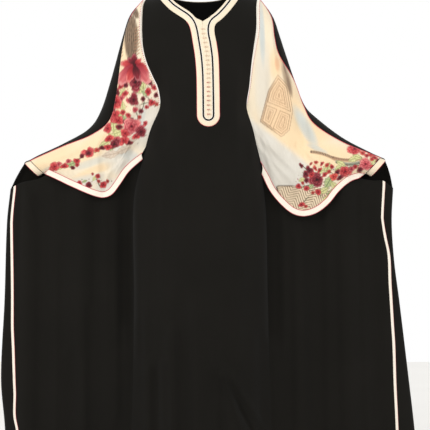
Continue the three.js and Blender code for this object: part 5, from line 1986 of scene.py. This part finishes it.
        # The colours hold the print together with painted shade below the arm and in the folds.
        colour = linear(PrintAndShade.right(x, z) if half.sign < 0 else PrintAndShade.left(x, z))
        layer = cloth.data.color_attributes.new("print", "FLOAT_COLOR", "POINT")
        layer.data.foreach_set("color", np.column_stack([colour, np.ones(len(colour))]).ravel())
        self.dress(cloth, PRINTED_CHIFFON, f"sleeve_front_{half.name}")
        start = self.sleeve_rows - 1
        band = grid[start:, :-1]
        self.sew(f"hem_band_{half.name}", band, HEM_WALL, PALE_SATIN, f"sleeve_hem_band_{half.name}")
        normal = outward(grid, Face.FRONT)
        edges = [(grid[row] + normal[row] * lift)[:-2] for row, lift in ((start, 1.1), (-1, 0.6))]
        self.pipe(f"red_hem_piping_{half.name}", edges, 0.8, RED_PIPING)
        self.armhole(half, grid)
        self.top_seam(half)

    def armhole(self, half: HeldSide, grid: np.ndarray) -> None:
        """The ivory trim along the armhole, with a row of red stitches on its sleeve side."""
        shares = np.array([0, 0.05, 0.2, 0.5, 0.8, 0.95, 1.0])
        strip = []
        for row in grid[: self.sleeve_rows]:
            if row[0, 2] > TRIM_END:
                width = float(half.trim.at(np.array([row[0, 2]]), "width")[0])
                strip.append(read_along(row, lengths(row), 0.2 + width * shares))
        strip = np.array(strip)
        wall = raised(strip, Face.FRONT, [0.7, 1.2, 1.6, 1.7, 1.6, 1.2, 0.7])
        self.sew(f"armhole_band_{half.name}", wall, SATIN, PALE_SATIN, f"armhole_trim_{half.name}")
        normal = outward(strip, Face.FRONT)
        line = evenly(strip[:, -2] + normal[:, -2] * 2.1, 400)
        stitches = [line[k : k + 4] for k in range(4, len(line) - 8, 7)]
        self.pipe(f"red_stitches_{half.name}", stitches, 0.75, RED_PIPING)
        edge = evenly(strip[:, 0] + normal[:, 0] * 1.3, 260)
        self.pipe(f"white_armhole_piping_{half.name}", [edge], 0.9, WHITE_PIPING)

    def top_seam(self, half: HeldSide) -> None:
        """Red piping where the sleeve front meets the back panel over the arm."""
        arm = Stations.on_arm(half, np.linspace(0.35, half.wrist_row + 0.1, 420))
        path = arm.turn(half, arm.seam_angle - 0.5 / arm.depth / RADIANS, lift=0.8)
        self.pipe(f"red_arm_piping_{half.name}", [evenly(path, 300)], self.piping, RED_PIPING, sides=8)

    def cuff(self, half: HeldSide) -> None:
        """The ivory ring round the wrist, with a black line in its seam and a red one at its edge."""
        wrist = Stations.on_arm(half, np.array([float(half.wrist_row)]))
        wrist.depth, wrist.drop = wrist.depth - 2.0, wrist.drop - 2.0
        lean, fall = float(wrist.lean[0]) * RADIANS, WRIST_FALL * RADIANS
        out = np.array([half.sign * math.cos(fall), 0, -math.sin(fall)])
        into = np.array([-half.sign * math.sin(lean), 0, -math.cos(lean)])
        loop = wrist.turn(half, np.linspace(0, -360, 73)[:-1]) + into * 2.2
        along = 0.3, 0.8, 2.5, 6, 9, 12, 15.5, 17.2, 17.7
        swell = -0.6, 0.0, 0.5, 0.8, 0.9, 0.8, 0.5, 0.0, -0.6
        away = loop - loop.mean(axis=0)
        away /= np.linalg.norm(away, axis=1, keepdims=True)
        grid = np.array([loop + out * a + away * s for a, s in zip(along, swell)])
        self.sew(f"cuff_band_{half.name}", grid, CUFF_WALL, IVORY_SATIN, f"cuff_{half.name}", ring=True)
        line, edge = [grid[1] + away * 0.7], [grid[-1] + away * 0.8]
        self.pipe(f"cuff_line_{half.name}", line, 1.0, BLACK_CORD, closed=True)
        self.pipe(f"cuff_edge_{half.name}", edge, 0.7, RED_PIPING, closed=True)

    def side_braid(self, half: HeldSide) -> None:
        """The ivory braid down the wing, with its thin red edge."""
        h = np.linspace(WING_TOP, LENGTH, 330)
        wide = half.outer.at(-h, "x") - half.side.at(-h, "x")
        steps = np.array([-0.5, -0.42, -0.2, 0, 0.2, 0.42, 0.5]) * SIDE_BRAID
        v = braid_share(half, h)[:, None] + steps[None, :] / wide[:, None]
        grid = front_wing(half, v, h[:, None])
        wall = raised(grid, Face.FRONT, [0.6, 1.4, 2.0, 2.2, 2.0, 1.4, 0.6])
        self.sew(f"braid_{half.name}", wall, SATIN, PALE_SATIN, f"side_braid_{half.name}")
        edge = 6 if half.sign > 0 else 0
        path = grid[:, edge] + outward(grid, Face.FRONT)[:, edge] * 1.1
        self.pipe(f"red_braid_edge_{half.name}", [path], 0.6, RED_PIPING)


@dataclass
class Studio:
    """The white studio, its soft lights and the camera at the photograph's place."""

    away: float = 4.5
    field: float = 1.204  # width of the picture at the wings, in metres
    centre: tuple[float, float, float] = (0.0336, -0.035, -0.63)
    floor: float = -1.456

    def build(self) -> None:
        """Makes the floor, the lights and the camera."""
        bpy.ops.mesh.primitive_plane_add(size=9, location=(0, 0, self.floor))
        floor = bpy.context.object
        floor.name = "floor"
        floor.select_set(False)
        material = bpy.data.materials.new("painted_floor")
        material.use_nodes = True
        tree = material.node_tree
        shader = tree.nodes["Principled BSDF"]
        places = add_node(tree, "TexCoord").outputs["Object"]
        noise = add_node(tree, "TexNoise", Vector=places, Scale=3.0).outputs["Fac"]
        tones = mix_tones(tree, noise, shade("#F4F2EE"), shade("#EEECE8"))
        tree.links.new(tones, shader.inputs["Base Color"])
        shader.inputs["Roughness"].default_value = 0.9
        floor.data.materials.append(material)
        world = bpy.data.worlds.new("studio")
        world.use_nodes = True
        background = world.node_tree.nodes["Background"]
        background.inputs["Color"].default_value = (1.0, 1.0, 1.0, 1.0)
        background.inputs["Strength"].default_value = 1.0
        bpy.context.scene.world = world
        self.light("key", (-1.6, -2.6, 0.9), 1.6, 34.0)
        self.light("fill", (2.0, -2.4, 0.2), 2.0, 12.0)
        self.camera()

    @staticmethod
    def light(name: str, place: tuple[float, float, float], size: float, power: float) -> None:
        """A square soft light that looks at the garment's middle."""
        data = bpy.data.lights.new(name, "AREA")
        data.size, data.energy = size, power
        lamp = in_scene(name, data)
        lamp.location = place
        aim = Vector((0, 0, -0.6)) - Vector(place)
        lamp.rotation_euler = aim.to_track_quat("-Z", "Y").to_euler()

    def camera(self) -> None:
        """The camera, level and straight in front."""
        data = bpy.data.cameras.new("camera")
        data.sensor_width = 36
        data.lens = 36 * self.away / self.field
        camera = in_scene("camera", data)
        x, y, z = self.centre
        camera.location = (x, y - self.away, z)
        camera.rotation_euler = (math.pi / 2, 0, 0)
        bpy.context.scene.camera = camera


def main() -> None:
    """Builds the studio and the garment on the frame, and logs how many faces each piece has."""
    logging.basicConfig(level=logging.INFO, format="%(message)s")
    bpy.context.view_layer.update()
    bpy.context.scene.view_settings.view_transform = "Standard"
    ClothMaker.deselect()
    Studio().build()
    abaya = Abaya()
    abaya.panels()
    abaya.neck()
    abaya.buttons()
    for half in (RIGHT, LEFT):
        abaya.sleeve(half)
        abaya.cuff(half)
        abaya.side_braid(half)


if __name__ == "__main__":
    main()
